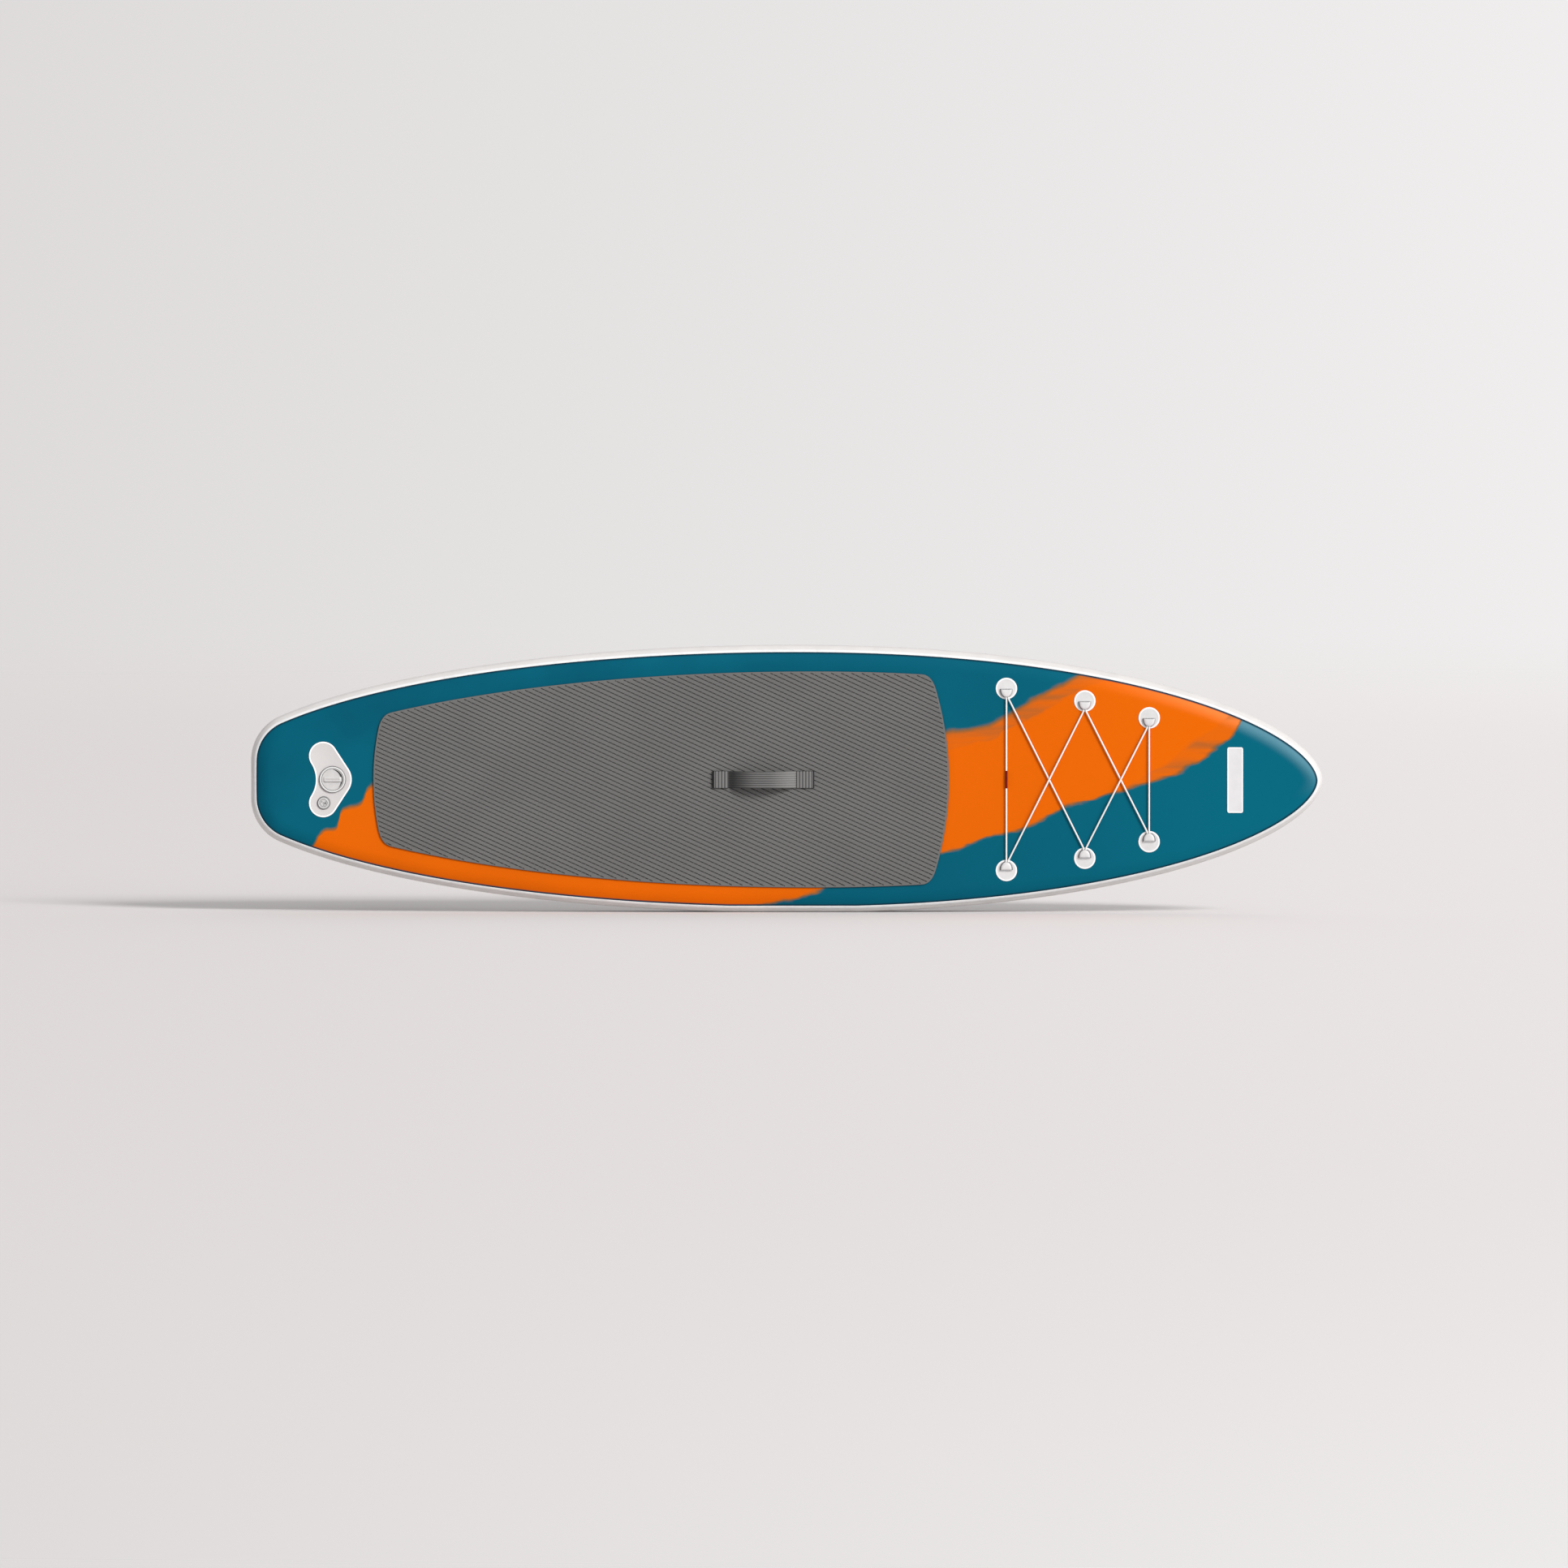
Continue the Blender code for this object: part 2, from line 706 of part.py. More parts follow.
master = guide_mesh()
number = 0
for side in (1, -1):
    for x, y in GUIDE_AT:
        number += 1
        bm = bmesh.new()
        bmesh.ops.create_cone(bm, cap_ends=True, segments=26, radius1=PATCH_R,
                              radius2=PATCH_R - 0.0008, depth=PATCH_THICK)
        patch = from_bmesh(f"cord_patch_{number}", bm, WHITE,
                           at=(x, side * y, DECK_Z + SEAT + PATCH_THICK / 2))
        settle(smooth(patch))
        seat = DECK_Z + SEAT + PATCH_THICK + GAP
        guide = new_object(f"cord_guide_{number}", master.data.copy(), VALVE_WHITE,
                           at=(x, side * y, seat), turn=(0, 0, 0 if side > 0 else math.pi))
        settle(smooth(guide, 40))
bpy.data.objects.remove(master, do_unlink=True)


def lacing_stops():
    """For each guide in turn: the cord's place in the mouth, its arc on the peg, its way out.

    The hand is the side of the peg where the cord comes in; places in the mouth count
    strands from the middle."""
    bend = PEG_R + GAP + CORD_R
    order = ((0, 1, -1, 0, 2), (1, -1, -1, -1, 1), (2, 1, -1, -2, 0),
             (2, -1, 1, 0, -2), (1, 1, 1, 1, -1), (0, -1, 1, 2, 0))
    stops = []
    for i, side, hand, arrive, leave in order:
        x, y = GUIDE_AT[i]
        centre = Vector((x, side * (y - PEG_IN)))
        gates = [Vector((x + STRAND * place, side * (y - MOUTH_IN))) for place in (arrive, leave)]
        angles = []
        for gate, way in zip(gates, (hand, -hand)):
            to = gate - centre
            angles.append(math.atan2(to.y, to.x) + way * side * math.acos(bend / to.length))
        turn = hand * side
        sweep = turn * ((turn * (angles[1] - angles[0])) % (2 * math.pi))
        arc = []
        for k in range(9):
            t = angles[0] + sweep * k / 8
            arc.append(centre + Vector((math.cos(t), math.sin(t))) * bend)
        stops.append([gates[0], *arc, gates[1]])
    return stops


def cord_route():
    """Closed lacing: round each guide's peg, and straight from one guide to the next.

    The two strands that lie over the others rise at the crossings."""
    stops = [[(p.x, p.y, DECK_Z + rocker(p.x) + CORD_H) for p in stop] for stop in lacing_stops()]
    full = []
    for index, stop in enumerate(stops):
        full += stop
        if index in (1, 4):
            p = stop[-1]
            q = stops[(index + 1) % 6][0]
            for t, lift in ((0.25, 0.5), (0.48, 1.0), (0.52, 1.0), (0.75, 0.5)):
                full.append(tuple(p[n] + (q[n] - p[n]) * t + (CROSS_LIFT * lift if n == 2 else 0)
                                  for n in range(3)))
    x, _, z = full[0]
    ends = JOINER_LEN / 2 + GAP
    return [(x, ends, z)] + full + [(x, -ends, z)]


cord_points = cord_route()
wire("bungee_cord", cord_points, CORD_R, CORD_WHITE, 2)
joiner = drum("cord_joiner", JOINER_R, JOINER_LEN, (cord_points[0][0], 0, cord_points[0][2]),
              (math.pi / 2, 0, 0), sides=12, mat=CORD_RED, collection=parts)
smooth(joiner)

# Bare plate at the nose
nose_plate = plate("nose_plate", rectangle(*NOSE_PLATE, 0.006, 4), PATCH_THICK, WHITE,
                   (NOSE_PLATE_X, 0, DECK_Z + SEAT))
settle(nose_plate)


def valve_plate_outline():
    """Two lobes joined to the valve lobe in front, with a concave waist behind."""
    lobe = Vector(LOBE_AT)
    valve = Vector((VALVE_X, 0))
    gap = valve - lobe
    tilt = math.atan2(gap.y, gap.x)
    touch = tilt + math.acos((LOBE_R - VALVE_LOBE_R) / gap.length)
    half = WAIST_X - lobe.x
    waist_r = (lobe.y ** 2 + half ** 2 - LOBE_R ** 2) / (2 * (LOBE_R + half))
    waist = Vector((WAIST_X - waist_r, 0))
    toward = waist - lobe
    meet = math.atan2(toward.y, toward.x) + 2 * math.pi
    points = []
    for k in range(7):
        a = touch * k / 6
        points.append((valve.x + VALVE_LOBE_R * math.cos(a), VALVE_LOBE_R * math.sin(a)))
    for k in range(10):
        a = touch + (meet - touch) * k / 9
        points.append((lobe.x + LOBE_R * math.cos(a), lobe.y + LOBE_R * math.sin(a)))
    begin = meet - math.pi
    for k in range(1, 5):
        a = begin * (1 - k / 5)
        points.append((waist.x + waist_r * math.cos(a), waist.y + waist_r * math.sin(a)))
    mirrored = [(x, -y) for x, y in reversed(points[1:])]
    return points + [(WAIST_X, 0.0)] + mirrored


valve_plate = plate("valve_plate", valve_plate_outline(), PATCH_THICK, WHITE,
                    (0, 0, DECK_Z + GAP))
combine(valve_plate, drum("hole", BARREL_HOLE_R, 0.02, (VALVE_X, 0, DECK_Z), sides=28),
        "DIFFERENCE")
combine(valve_plate, drum("hole", RELIEF_HOLE_R, 0.02, (*RELIEF_AT, DECK_Z), sides=20),
        "DIFFERENCE")

# Air valve, heights from the deck face
valve_at = (VALVE_X, 0, DECK_Z)
valve_body = lathe("valve_body", [
    (0.0340, 0.0074), (0.0375, 0.0074), (0.0391, 0.0063), (0.0395, 0.0047),
    (0.0395, 0.0021), (0.0220, 0.0021), (0.0220, -0.0340), (0.0176, -0.0340),
    (0.0176, 0.0034), (0.0330, 0.0034), (0.0332, 0.0068)], VALVE_WHITE, valve_at)
hub = lathe("hub", [(0.0043, -0.0210), (0.0075, -0.0210), (0.0075, -0.0240),
                    (0.0043, -0.0240)], None, valve_at, 16, collection=cutters)
combine(valve_body, hub, "UNION")
for k in range(3):
    a = 2 * math.pi * k / 3
    spoke = box("spoke", (0.0125, 0.003, 0.0026),
                (VALVE_X + 0.0128 * math.cos(a), 0.0128 * math.sin(a), DECK_Z - 0.0225),
                turn=(0, 0, a))
    combine(valve_body, spoke, "UNION")
smooth(valve_body)
lathe("valve_gasket", [(0.0300, -0.0033), (0.0300, -0.0048), (BARREL_HOLE_R, -0.0048),
                       (BARREL_HOLE_R, -0.0033)], RUBBER_BLACK, valve_at, 24)
lathe("valve_nut", [(0.0300, -0.0051), (0.0315, -0.0066), (0.0315, -0.0120),
                    (0.0300, -0.0135), (BARREL_HOLE_R, -0.0135), (BARREL_HOLE_R, -0.0051)],
      VALVE_WHITE, valve_at, 24)
lathe("valve_pin", [(0, -0.0071), (0.0040, -0.0071), (0.0040, -0.0366), (0.0195, -0.0366),
                    (0.0195, -0.0392), (0, -0.0392)], VALVE_WHITE, valve_at, 20)
lathe("valve_button", [(0, -0.0055), (0.0055, -0.0055), (0.0062, -0.0062),
                       (0.0062, -0.0087), (0.0043, -0.0087), (0.0043, -0.0068), (0, -0.0068)],
      VALVE_WHITE, valve_at, 16)
lathe("valve_disc_seal", [(0.0194, -0.0343), (0.0194, -0.0363), (0.0090, -0.0363),
                          (0.0090, -0.0343)], RUBBER_BLACK, valve_at, 20)
lathe("valve_washer", [(0.0062, -0.0090), (0.0062, -0.0098), (0.0044, -0.0098),
                       (0.0044, -0.0090)], STEEL, valve_at, 16)
lathe("valve_cap_seal", [(0.0228, 0.0047), (0.0235, 0.0042), (0.0228, 0.0037),
                         (0.0192, 0.0037), (0.0185, 0.0042), (0.0192, 0.0047)],
      RUBBER_BLACK, valve_at, 24)
cap = lathe("valve_cap", [(0, 0.0062), (0.0312, 0.0062), (0.0322, 0.0056), (0.0322, 0.0050),
                          (0.0170, 0.0050), (0.0170, -0.0040), (0, -0.0040)], VALVE_WHITE,
            valve_at, 32)


def coil(low, high, radius, turns):
    points = []
    for k in range(int(turns * 9) + 1):
        a = 2 * math.pi * k / 9
        points.append((radius * math.cos(a), radius * math.sin(a),
                       low + (high - low) * k / (turns * 9)))
    return points


wire("valve_spring", coil(-0.0202, -0.0106, 0.0053, 3.5), 0.0005, STEEL, 1, valve_at)

# Finger pockets and grip bar of the cap
pocket = []
for k in range(13):
    a = math.radians(-62 + 124 * k / 12)
    pocket.append((0.0300 * math.cos(a), 0.0300 * math.sin(a)))
for k in range(13):
    a = math.radians(48 - 96 * k / 12)
    pocket.append((-0.0100 + 0.0355 * math.cos(a), 0.0355 * math.sin(a)))
combine(cap, plate("pocket", pocket, 0.01, None, (VALVE_X, 0, DECK_Z + 0.0052),
                   collection=cutters), "DIFFERENCE")
bar = plate("bar", rectangle(0.0560, 0.0170, 0.0050, 3), 0.0040, None,
            (VALVE_X - 0.0005, 0, DECK_Z + 0.0052), edge=0.0010, segments=1,
            collection=cutters)
combine(cap, bar, "UNION")
combine(cap, box("groove", (0.052, 0.0022, 0.002), (VALVE_X - 0.0005, 0, DECK_Z + 0.0092)),
        "DIFFERENCE")
smooth(cap)

# Relief valve
relief_at = (*RELIEF_AT, DECK_Z)
lathe("relief_body", [(0.0150, 0.0058), (0.0180, 0.0058), (0.0190, 0.0048), (0.0190, 0.0021),
                      (0.0120, 0.0021), (0.0120, -0.0160), (0.0062, -0.0160),
                      (0.0062, -0.0140), (0.0100, -0.0140), (0.0100, 0.0032),
                      (0.0143, 0.0032), (0.0143, 0.0052)], VALVE_WHITE, relief_at, 18)
lathe("relief_nut", [(0.0170, -0.0033), (0.0180, -0.0043), (0.0180, -0.0105),
                     (0.0170, -0.0115), (RELIEF_HOLE_R, -0.0115), (RELIEF_HOLE_R, -0.0033)],
      VALVE_WHITE, relief_at, 20)
guard = lathe("relief_guard", [(0.0105, 0.0060), (0.0128, 0.0060), (0.0140, 0.0050),
                               (0.0140, 0.0035), (0.0029, 0.0035), (0.0029, 0.0048),
                               (0.0095, 0.0048)], VALVE_WHITE, relief_at, 20)
for k in range(3):
    a = math.radians(30 + 120 * k)
    vent = drum("vent", 0.0013, 0.02, (RELIEF_AT[0] + 0.0066 * math.cos(a),
                                       RELIEF_AT[1] + 0.0066 * math.sin(a), DECK_Z), sides=8)
    combine(guard, vent, "DIFFERENCE")
smooth(guard)
lathe("relief_poppet", [(0, 0.0040), (0.0012, 0.0040), (0.0012, 0.0062), (0.0020, 0.0062),
                        (0.0024, 0.0056), (0.0024, -0.0120), (0.0092, -0.0120),
                        (0.0092, -0.0137), (0, -0.0137)], VALVE_WHITE, relief_at, 16)
wire("relief_spring", coil(-0.0112, 0.0028, 0.0050, 4), 0.0005, STEEL, 1, relief_at)


def foil(name, root_x, chord, rake, depth, thick, top, mat, levels=7, at=(0, 0, 0)):
    """Raked fin blade: symmetric sections from the root down to a narrow tip."""
    shares = [0.0, 0.06, 0.22, 0.48, 0.76, 1.0]
    bm = bmesh.new()
    rings = []
    for level in range(levels + 1):
        s = 0.985 * (level / levels) ** 0.85
        lead = root_x - rake * s ** 1.5
        length = chord * math.sqrt(1 - s ** 2)
        half = (thick * (1 - s) + 0.0025) / 2
        loop = []
        for f in shares:
            y = half * (2.6 * math.sqrt(f) * (1 - f) + 0.16 * f)
            loop.append((lead - length * f, y, -(top + depth * s)))
        back = [(x, -y, z) for x, y, z in reversed(loop[1:])]
        rings.append([bm.verts.new(p) for p in loop + back])
    size = len(rings[0])
    for a, b in zip(rings, rings[1:]):
        for k in range(size):
            n = (k + 1) % size
            bm.faces.new((a[k], a[n], b[n], b[k]))
    bm.faces.new(rings[0])
    bm.faces.new(rings[-1])
    bmesh.ops.recalc_face_normals(bm, faces=bm.faces)
    return from_bmesh(name, bm, mat, at=at)


# Fin box and centre fin, depths from the hull face
plate("fin_patch", rectangle(0.360, 0.110, 0.050, 5), PATCH_THICK, RAIL_WHITE,
      (FIN_X, 0, -DECK_Z - GAP - PATCH_THICK))
fin_box = plate("fin_box", rectangle(*BOX_SIZE[:2], 0.012, 4), BOX_SIZE[2], FIN_BLACK,
                (FIN_X, 0, -DECK_Z - ON_PATCH - BOX_SIZE[2]), edge=0.0020)
slot = box("slot", (*SLOT, 0.030), (FIN_X, 0, -DECK_Z - 0.020))
combine(fin_box, slot, "DIFFERENCE")
groove = box("groove", (GROOVE[0], GROOVE[1], GROOVE[3] - GROOVE[2]),
             (FIN_X, 0, -DECK_Z - (GROOVE[2] + GROOVE[3]) / 2))
combine(fin_box, groove, "DIFFERENCE")
smooth(fin_box)

fin = foil("fin_centre", *FIN_ROOT, 0.225, FIN_DEPTH - BLADE_TOP, 0.009, DECK_Z + BLADE_TOP,
           FIN_BLACK)
tab = box("tab", TAB_SIZE, (TAB_X, 0, -DECK_Z - 0.0056 - TAB_SIZE[2] / 2))
combine(fin, tab, "UNION")
ear = box("ear", EAR_SIZE, (EAR_X, 0, -DECK_Z - EAR_DEPTH))
combine(fin, ear, "UNION")
hole = drum("screw_hole", 0.0023, 0.02, (SCREW_X, 0, -DECK_Z - EAR_DEPTH), sides=16)
combine(fin, hole, "DIFFERENCE")
pin_at = (PIN_X, 0, -DECK_Z - PIN_DEPTH)
across = (math.pi / 2, 0, 0)
combine(fin, drum("pin_hole", PIN_R + GAP, 0.03, pin_at, across, sides=14), "DIFFERENCE")
smooth(fin, 30)
smooth(drum("fin_pin", PIN_R, 0.0152, pin_at, across, sides=14, mat=BRASS, collection=parts))

screw_at = (SCREW_X, 0, -DECK_Z)
screw = lathe("fin_screw", [(0, -0.0065), (0.0020, -0.0065), (0.0020, -0.0198),
                            (0.0042, -0.0198), (0.0042, -0.0216), (0.0034, -0.0224),
                            (0, -0.0224)], STEEL, screw_at, 16)
drive = box("drive", (0.0060, 0.0011, 0.0024), (SCREW_X, 0, -DECK_Z - 0.0224))
combine(screw, drive, "DIFFERENCE")
smooth(screw)
nut_at = (SCREW_X, 0, -DECK_Z - NUT_DEPTH)
nut = box("fin_nut", (0.014, 0.0152, 0.003), nut_at, BRASS, parts)
combine(nut, drum("nut_hole", 0.0022, 0.02, nut_at, sides=16), "DIFFERENCE")

# Side fins
for name, side in (("left", 1), ("right", -1)):
    x, y = SIDE_FIN_AT
    toe = -side * math.radians(SIDE_FIN_TOE)
    plate(f"side_patch_{name}", rectangle(0.160, 0.050, 0.024, 4), PATCH_THICK, RAIL_WHITE,
          (x, side * y, -DECK_Z - GAP - PATCH_THICK), (0, 0, toe))
    foot_top = -DECK_Z - ON_PATCH
    blade = foil(f"side_fin_{name}", 0.050, 0.100, 0.070, 0.092, 0.006, 0.0030, FIN_BLACK, 5,
                 (x, side * y, foot_top))
    for vert in blade.data.vertices:
        vert.co.y += side * SIDE_FIN_LEAN * max(0.0, -vert.co.z - 0.004)
    foot = plate("foot", rectangle(0.122, 0.018, 0.009, 4), 0.0040, None,
                 (x, side * y, foot_top - 0.0040), edge=0.0010, segments=1, collection=cutters)
    combine(blade, foot, "UNION")
    blade.rotation_euler = (0, 0, toe)
    smooth(blade, 30)
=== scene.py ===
import math

import bmesh
import bpy
import numpy as np
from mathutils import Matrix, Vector


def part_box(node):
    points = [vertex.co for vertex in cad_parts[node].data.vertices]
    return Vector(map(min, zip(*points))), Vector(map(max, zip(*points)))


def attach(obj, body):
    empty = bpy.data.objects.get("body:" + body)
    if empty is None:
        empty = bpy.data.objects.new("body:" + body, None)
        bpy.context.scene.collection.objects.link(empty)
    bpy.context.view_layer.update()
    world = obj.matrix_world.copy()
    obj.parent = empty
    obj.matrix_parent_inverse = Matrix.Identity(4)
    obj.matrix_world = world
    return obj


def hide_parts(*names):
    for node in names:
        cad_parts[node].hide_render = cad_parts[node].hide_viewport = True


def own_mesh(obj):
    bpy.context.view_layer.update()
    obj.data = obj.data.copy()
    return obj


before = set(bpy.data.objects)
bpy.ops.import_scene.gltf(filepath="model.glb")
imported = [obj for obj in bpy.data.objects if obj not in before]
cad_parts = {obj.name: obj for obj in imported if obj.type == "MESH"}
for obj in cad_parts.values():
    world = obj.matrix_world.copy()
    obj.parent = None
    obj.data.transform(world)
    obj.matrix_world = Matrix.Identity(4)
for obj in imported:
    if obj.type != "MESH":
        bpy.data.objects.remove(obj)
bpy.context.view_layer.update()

# Camera. The picture is taken square to the deck from far off and a very little above it,
# so it has almost no perspective and shows the upper rail as a thin band.
VIEW_WIDTH = 4.6900
VIEW_CENTRE = (-0.0072, 0.3818)
VIEW_FAR = 60.0
VIEW_RISE = math.radians(1.8)
SENSOR = 36.0


def placed(name, data):
    """A new object with this data, in the scene."""
    obj = bpy.data.objects.new(name, data)
    bpy.context.scene.collection.objects.link(obj)
    return obj


lens = bpy.data.cameras.new("camera")
lens.sensor_width = SENSOR
lens.lens = SENSOR * VIEW_FAR / VIEW_WIDTH
lens.clip_end = 300
camera = placed("camera", lens)
camera.location = (VIEW_CENTRE[0], -VIEW_FAR * math.cos(VIEW_RISE),
                   VIEW_CENTRE[1] + VIEW_FAR * math.sin(VIEW_RISE))
camera.rotation_euler = (math.pi / 2 - VIEW_RISE, 0, 0)
bpy.context.scene.camera = camera

# Air chamber. Two cloths held apart by rows of threads, a strip of cloth round the side wall,
# all coated; it is woven in one piece and shut inside the skins.


class Reading:
    """A value, place or colour at each point of a surface, and what is worked out from it."""

    def __init__(self, nodes, socket):
        self.nodes = nodes
        self.socket = socket

    def worked(self, operation, other=0.0):
        return self.nodes.add("Math", {0: self, 1: other}, operation=operation)

    def __add__(self, other):
        return self.worked("ADD", other)

    def __sub__(self, other):
        return self.worked("SUBTRACT", other)

    def __mul__(self, other):
        return self.worked("MULTIPLY", other)

    def most(self, other):
        return self.worked("MAXIMUM", other)

    def size(self):
        return self.worked("ABSOLUTE")

    def wave(self, lead=0.0):
        """The sine of a reading in turns, that many turns ahead."""
        return ((self + lead) * math.tau).worked("SINE")

    def mottled(self, scale, color, other):
        """One colour with soft patches of another."""
        return self.noise(scale).step(0.35, 0.70).between(color, other)

    def part(self, name):
        return self.nodes.add("SeparateXYZ", {0: self}, "XYZ".index(name))

    def noise(self, scale, detail=3.0, rough=0.5):
        return self.nodes.add("TexNoise", {"Vector": self, "Scale": scale, "Detail": detail,
                                           "Roughness": rough})

    def step(self, low, high, start=0.0, end=1.0, smooth="SMOOTHSTEP"):
        """A step from start at low to end at high."""
        return self.nodes.add("MapRange", {0: self, 1: low, 2: high, 3: start, 4: end},
                              interpolation_type=smooth)

    def curve(self, points):
        """A smooth curve through (value, result) points, both from 0 to 1."""
        bent = self.nodes.add("FloatCurve", {"Value": self})
        mapping = bent.socket.node.mapping
        for _ in points[2:]:
            mapping.curves[0].points.new(0.5, 0.5)
        for point, spot in zip(mapping.curves[0].points, points):
            point.location = spot
        mapping.update()
        return bent

    def between(self, a, b):
        """Colour a where this is 0, and b where it is 1."""
        pair = {key: (*value, 1) if isinstance(value, tuple) else value
                for key, value in ((6, a), (7, b))}
        return self.nodes.add("Mix", {0: self, **pair}, 2, data_type="RGBA")


class Nodes:
    """A node tree, and short calls that fill it."""

    def __init__(self, tree):
        self.tree = tree

    def fill(self, node, inputs):
        for key, value in inputs.items():
            value = getattr(value, "socket", value)
            if isinstance(value, bpy.types.NodeSocket):
                self.tree.links.new(value, node.inputs[key])
            else:
                node.inputs[key].default_value = value

    def add(self, kind, inputs, output=0, **settings):
        node = self.tree.nodes.new("ShaderNode" + kind)
        for key, value in settings.items():
            setattr(node, key, value)
        self.fill(node, inputs)
        return Reading(self, node.outputs[output])


class Finish(Nodes):
    """One material: its shader, and what is painted and pressed into its surface."""

    def __init__(self, name, color, roughness, specular=0.5, metallic=0.0):
        self.material = bpy.data.materials.new(name)
        self.material.use_nodes = True
        super().__init__(self.material.node_tree)
        self.shader = self.tree.nodes["Principled BSDF"]
        self.relief = {}
        self.fill(self.shader, {"Base Color": (*color, 1), "Roughness": roughness,
                                "Specular IOR Level": specular, "Metallic": metallic})

    def place(self, source="Object", scale=(1, 1, 1), turn=(0, 0, 0), at=(0, 0, 0)):
        """Coordinates from the piece, moved by at, turned and scaled."""
        here = self.add("TexCoord", {}, source)
        return self.add("Mapping", {"Vector": here, "Location": at, "Rotation": turn,
                                    "Scale": scale})

    def bump(self, height, distance, strength=0.6):
        """Relief of that height in metres, over any relief already there."""
        self.relief = {"Normal": self.add("Bump", {"Height": height, "Distance": distance,
                                                   "Strength": strength, **self.relief})}
        self.fill(self.shader, self.relief)

    def paint(self, color, roughness=None):
        self.fill(self.shader, {"Base Color": color})
        if roughness is not None:
            self.fill(self.shader, {"Roughness": roughness})


def dress(finish, *nodes):
    """Give solids that stay in view this material."""
    for node in nodes:
        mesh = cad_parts[node].data
        mesh.materials.clear()
        mesh.materials.append(finish.material)


CORE_CLOTH = (0.62, 0.62, 0.59)
CORE_YELLOWED = (0.54, 0.53, 0.46)
CORE_THREADS = 5200 / math.tau
core_cloth = Finish("core_cloth", CORE_CLOTH, 0.9)
core_at = core_cloth.place()
core_weave = core_cloth.place(scale=(CORE_THREADS, 1, CORE_THREADS))
core_cloth.bump(core_weave.part("X").wave() * core_weave.part("Z").wave(), 0.0001, 0.8)
core_cloth.paint(core_at.mottled(4, CORE_CLOTH, CORE_YELLOWED))
dress(core_cloth, "drop_stitch_core", "sidewall_strip")

# Deck laminate. A printed sheet of coated cloth, glued over the air chamber and wrapped round its
# shoulders; the print is teal with brushed orange bands and a dark cut edge, darkened further as
# painted shade beside the seam tape.
LENGTH = 3.200
HALF_WIDTH = 0.400
DECK = 0.075
WIDEST = 0.020
NOSE_POWERS = (2.13, 1.80)
TAIL_REACH = 1.735
TAIL_CORNER = 0.140
ROCKER_START = 0.50
ROCKER_RISE = 0.110
ROCKER_POWER = 2.2
RAIL_FLAT = 0.030
SHOULDER = 0.061
NOSE_SHOULDER_LESS = 0.021
SEAM_IN = 0.0165
SEAM_GAP = 0.0006
TIP_LESS = 0.0035
TIP_REACH = 0.12
LAMINATE = 0.0015
HALF_STATIONS = 360
valve_low, valve_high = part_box("valve_cap")
SIDE = (valve_low.z + valve_high.z) / 2


def rocker(x):
    """Rise of the board at x: 110 mm times a power of the way from 0.5 m to the tip."""
    way = np.clip(x - ROCKER_START, 0, None) / (LENGTH / 2 - ROCKER_START)
    return ROCKER_RISE * way ** ROCKER_POWER


def standing(x, v, w):
    """Points x along the board, v across it and w out of its deck, on the standing board."""
    x, v, w = np.broadcast_arrays(x, v, w)
    return np.stack([x, -w, SIDE + v], -1)


def on_deck(x, v, h):
    """Points h above the deck's face, which follows the rocker."""
    return standing(x, v, DECK + rocker(x) + h)


def on_hull(x, v, h):
    """Points h below the underside, which follows the rocker."""
    return standing(x, v, -DECK + rocker(x) - h)


def half_outline():
    """Nose to tail: a quarter of a superellipse, a quarter ellipse, a corner arc and a line.

    The corner arc's centre lies one corner radius inside both the ellipse and the tail."""
    a = np.linspace(0, math.pi / 2, 4000)
    nose_x = WIDEST + (LENGTH / 2 - WIDEST) * np.cos(a) ** (2 / NOSE_POWERS[0])
    nose_v = HALF_WIDTH * np.sin(a) ** (2 / NOSE_POWERS[1])
    a = np.linspace(0, 1.5, 4000)
    tail_x = WIDEST - TAIL_REACH * np.sin(a)
    tail_v = HALF_WIDTH * np.cos(a)
    way = np.stack([-np.sin(a) / TAIL_REACH, np.cos(a) / HALF_WIDTH])
    way /= np.linalg.norm(way, axis=0)
    inner_x = tail_x - way[0] * TAIL_CORNER
    last = np.argmax(inner_x < TAIL_CORNER - LENGTH / 2)
    turn = np.linspace(math.atan2(way[1, last], way[0, last]), math.pi, 400)
    corner_x = inner_x[last] + TAIL_CORNER * np.cos(turn)
    corner_v = tail_v[last] - way[1, last] * TAIL_CORNER + TAIL_CORNER * np.sin(turn)
    x = np.concatenate([nose_x, tail_x[1:last], corner_x, [-LENGTH / 2]])
    v = np.concatenate([nose_v, tail_v[1:last], corner_v, [0.0]])
    return even_steps(x, v, HALF_STATIONS)


def even_steps(x, v, count):
    """The line through the points, cut into count pieces of one length."""
    length = np.concatenate([[0], np.cumsum(np.hypot(np.diff(x), np.diff(v)))])
    at = np.linspace(0, length[-1], count + 1)
    return np.interp(at, length, x), np.interp(at, length, v)


def both_halves(x, v):
    """A closed outline from its half above the middle line, on which the half's ends lie."""
    return np.concatenate([x, x[-2:0:-1]]), np.concatenate([v, -v[-2:0:-1]])


def outward(x, v):
    """Unit normals of a closed outline that runs anticlockwise, from its neighbours."""
    along = np.stack([np.roll(x, -1) - np.roll(x, 1), np.roll(v, -1) - np.roll(v, 1)])
    along /= np.linalg.norm(along, axis=0)
    return along[1], -along[0]


half_x, half_v = half_outline()
edge_x, edge_v = both_halves(half_x, half_v)
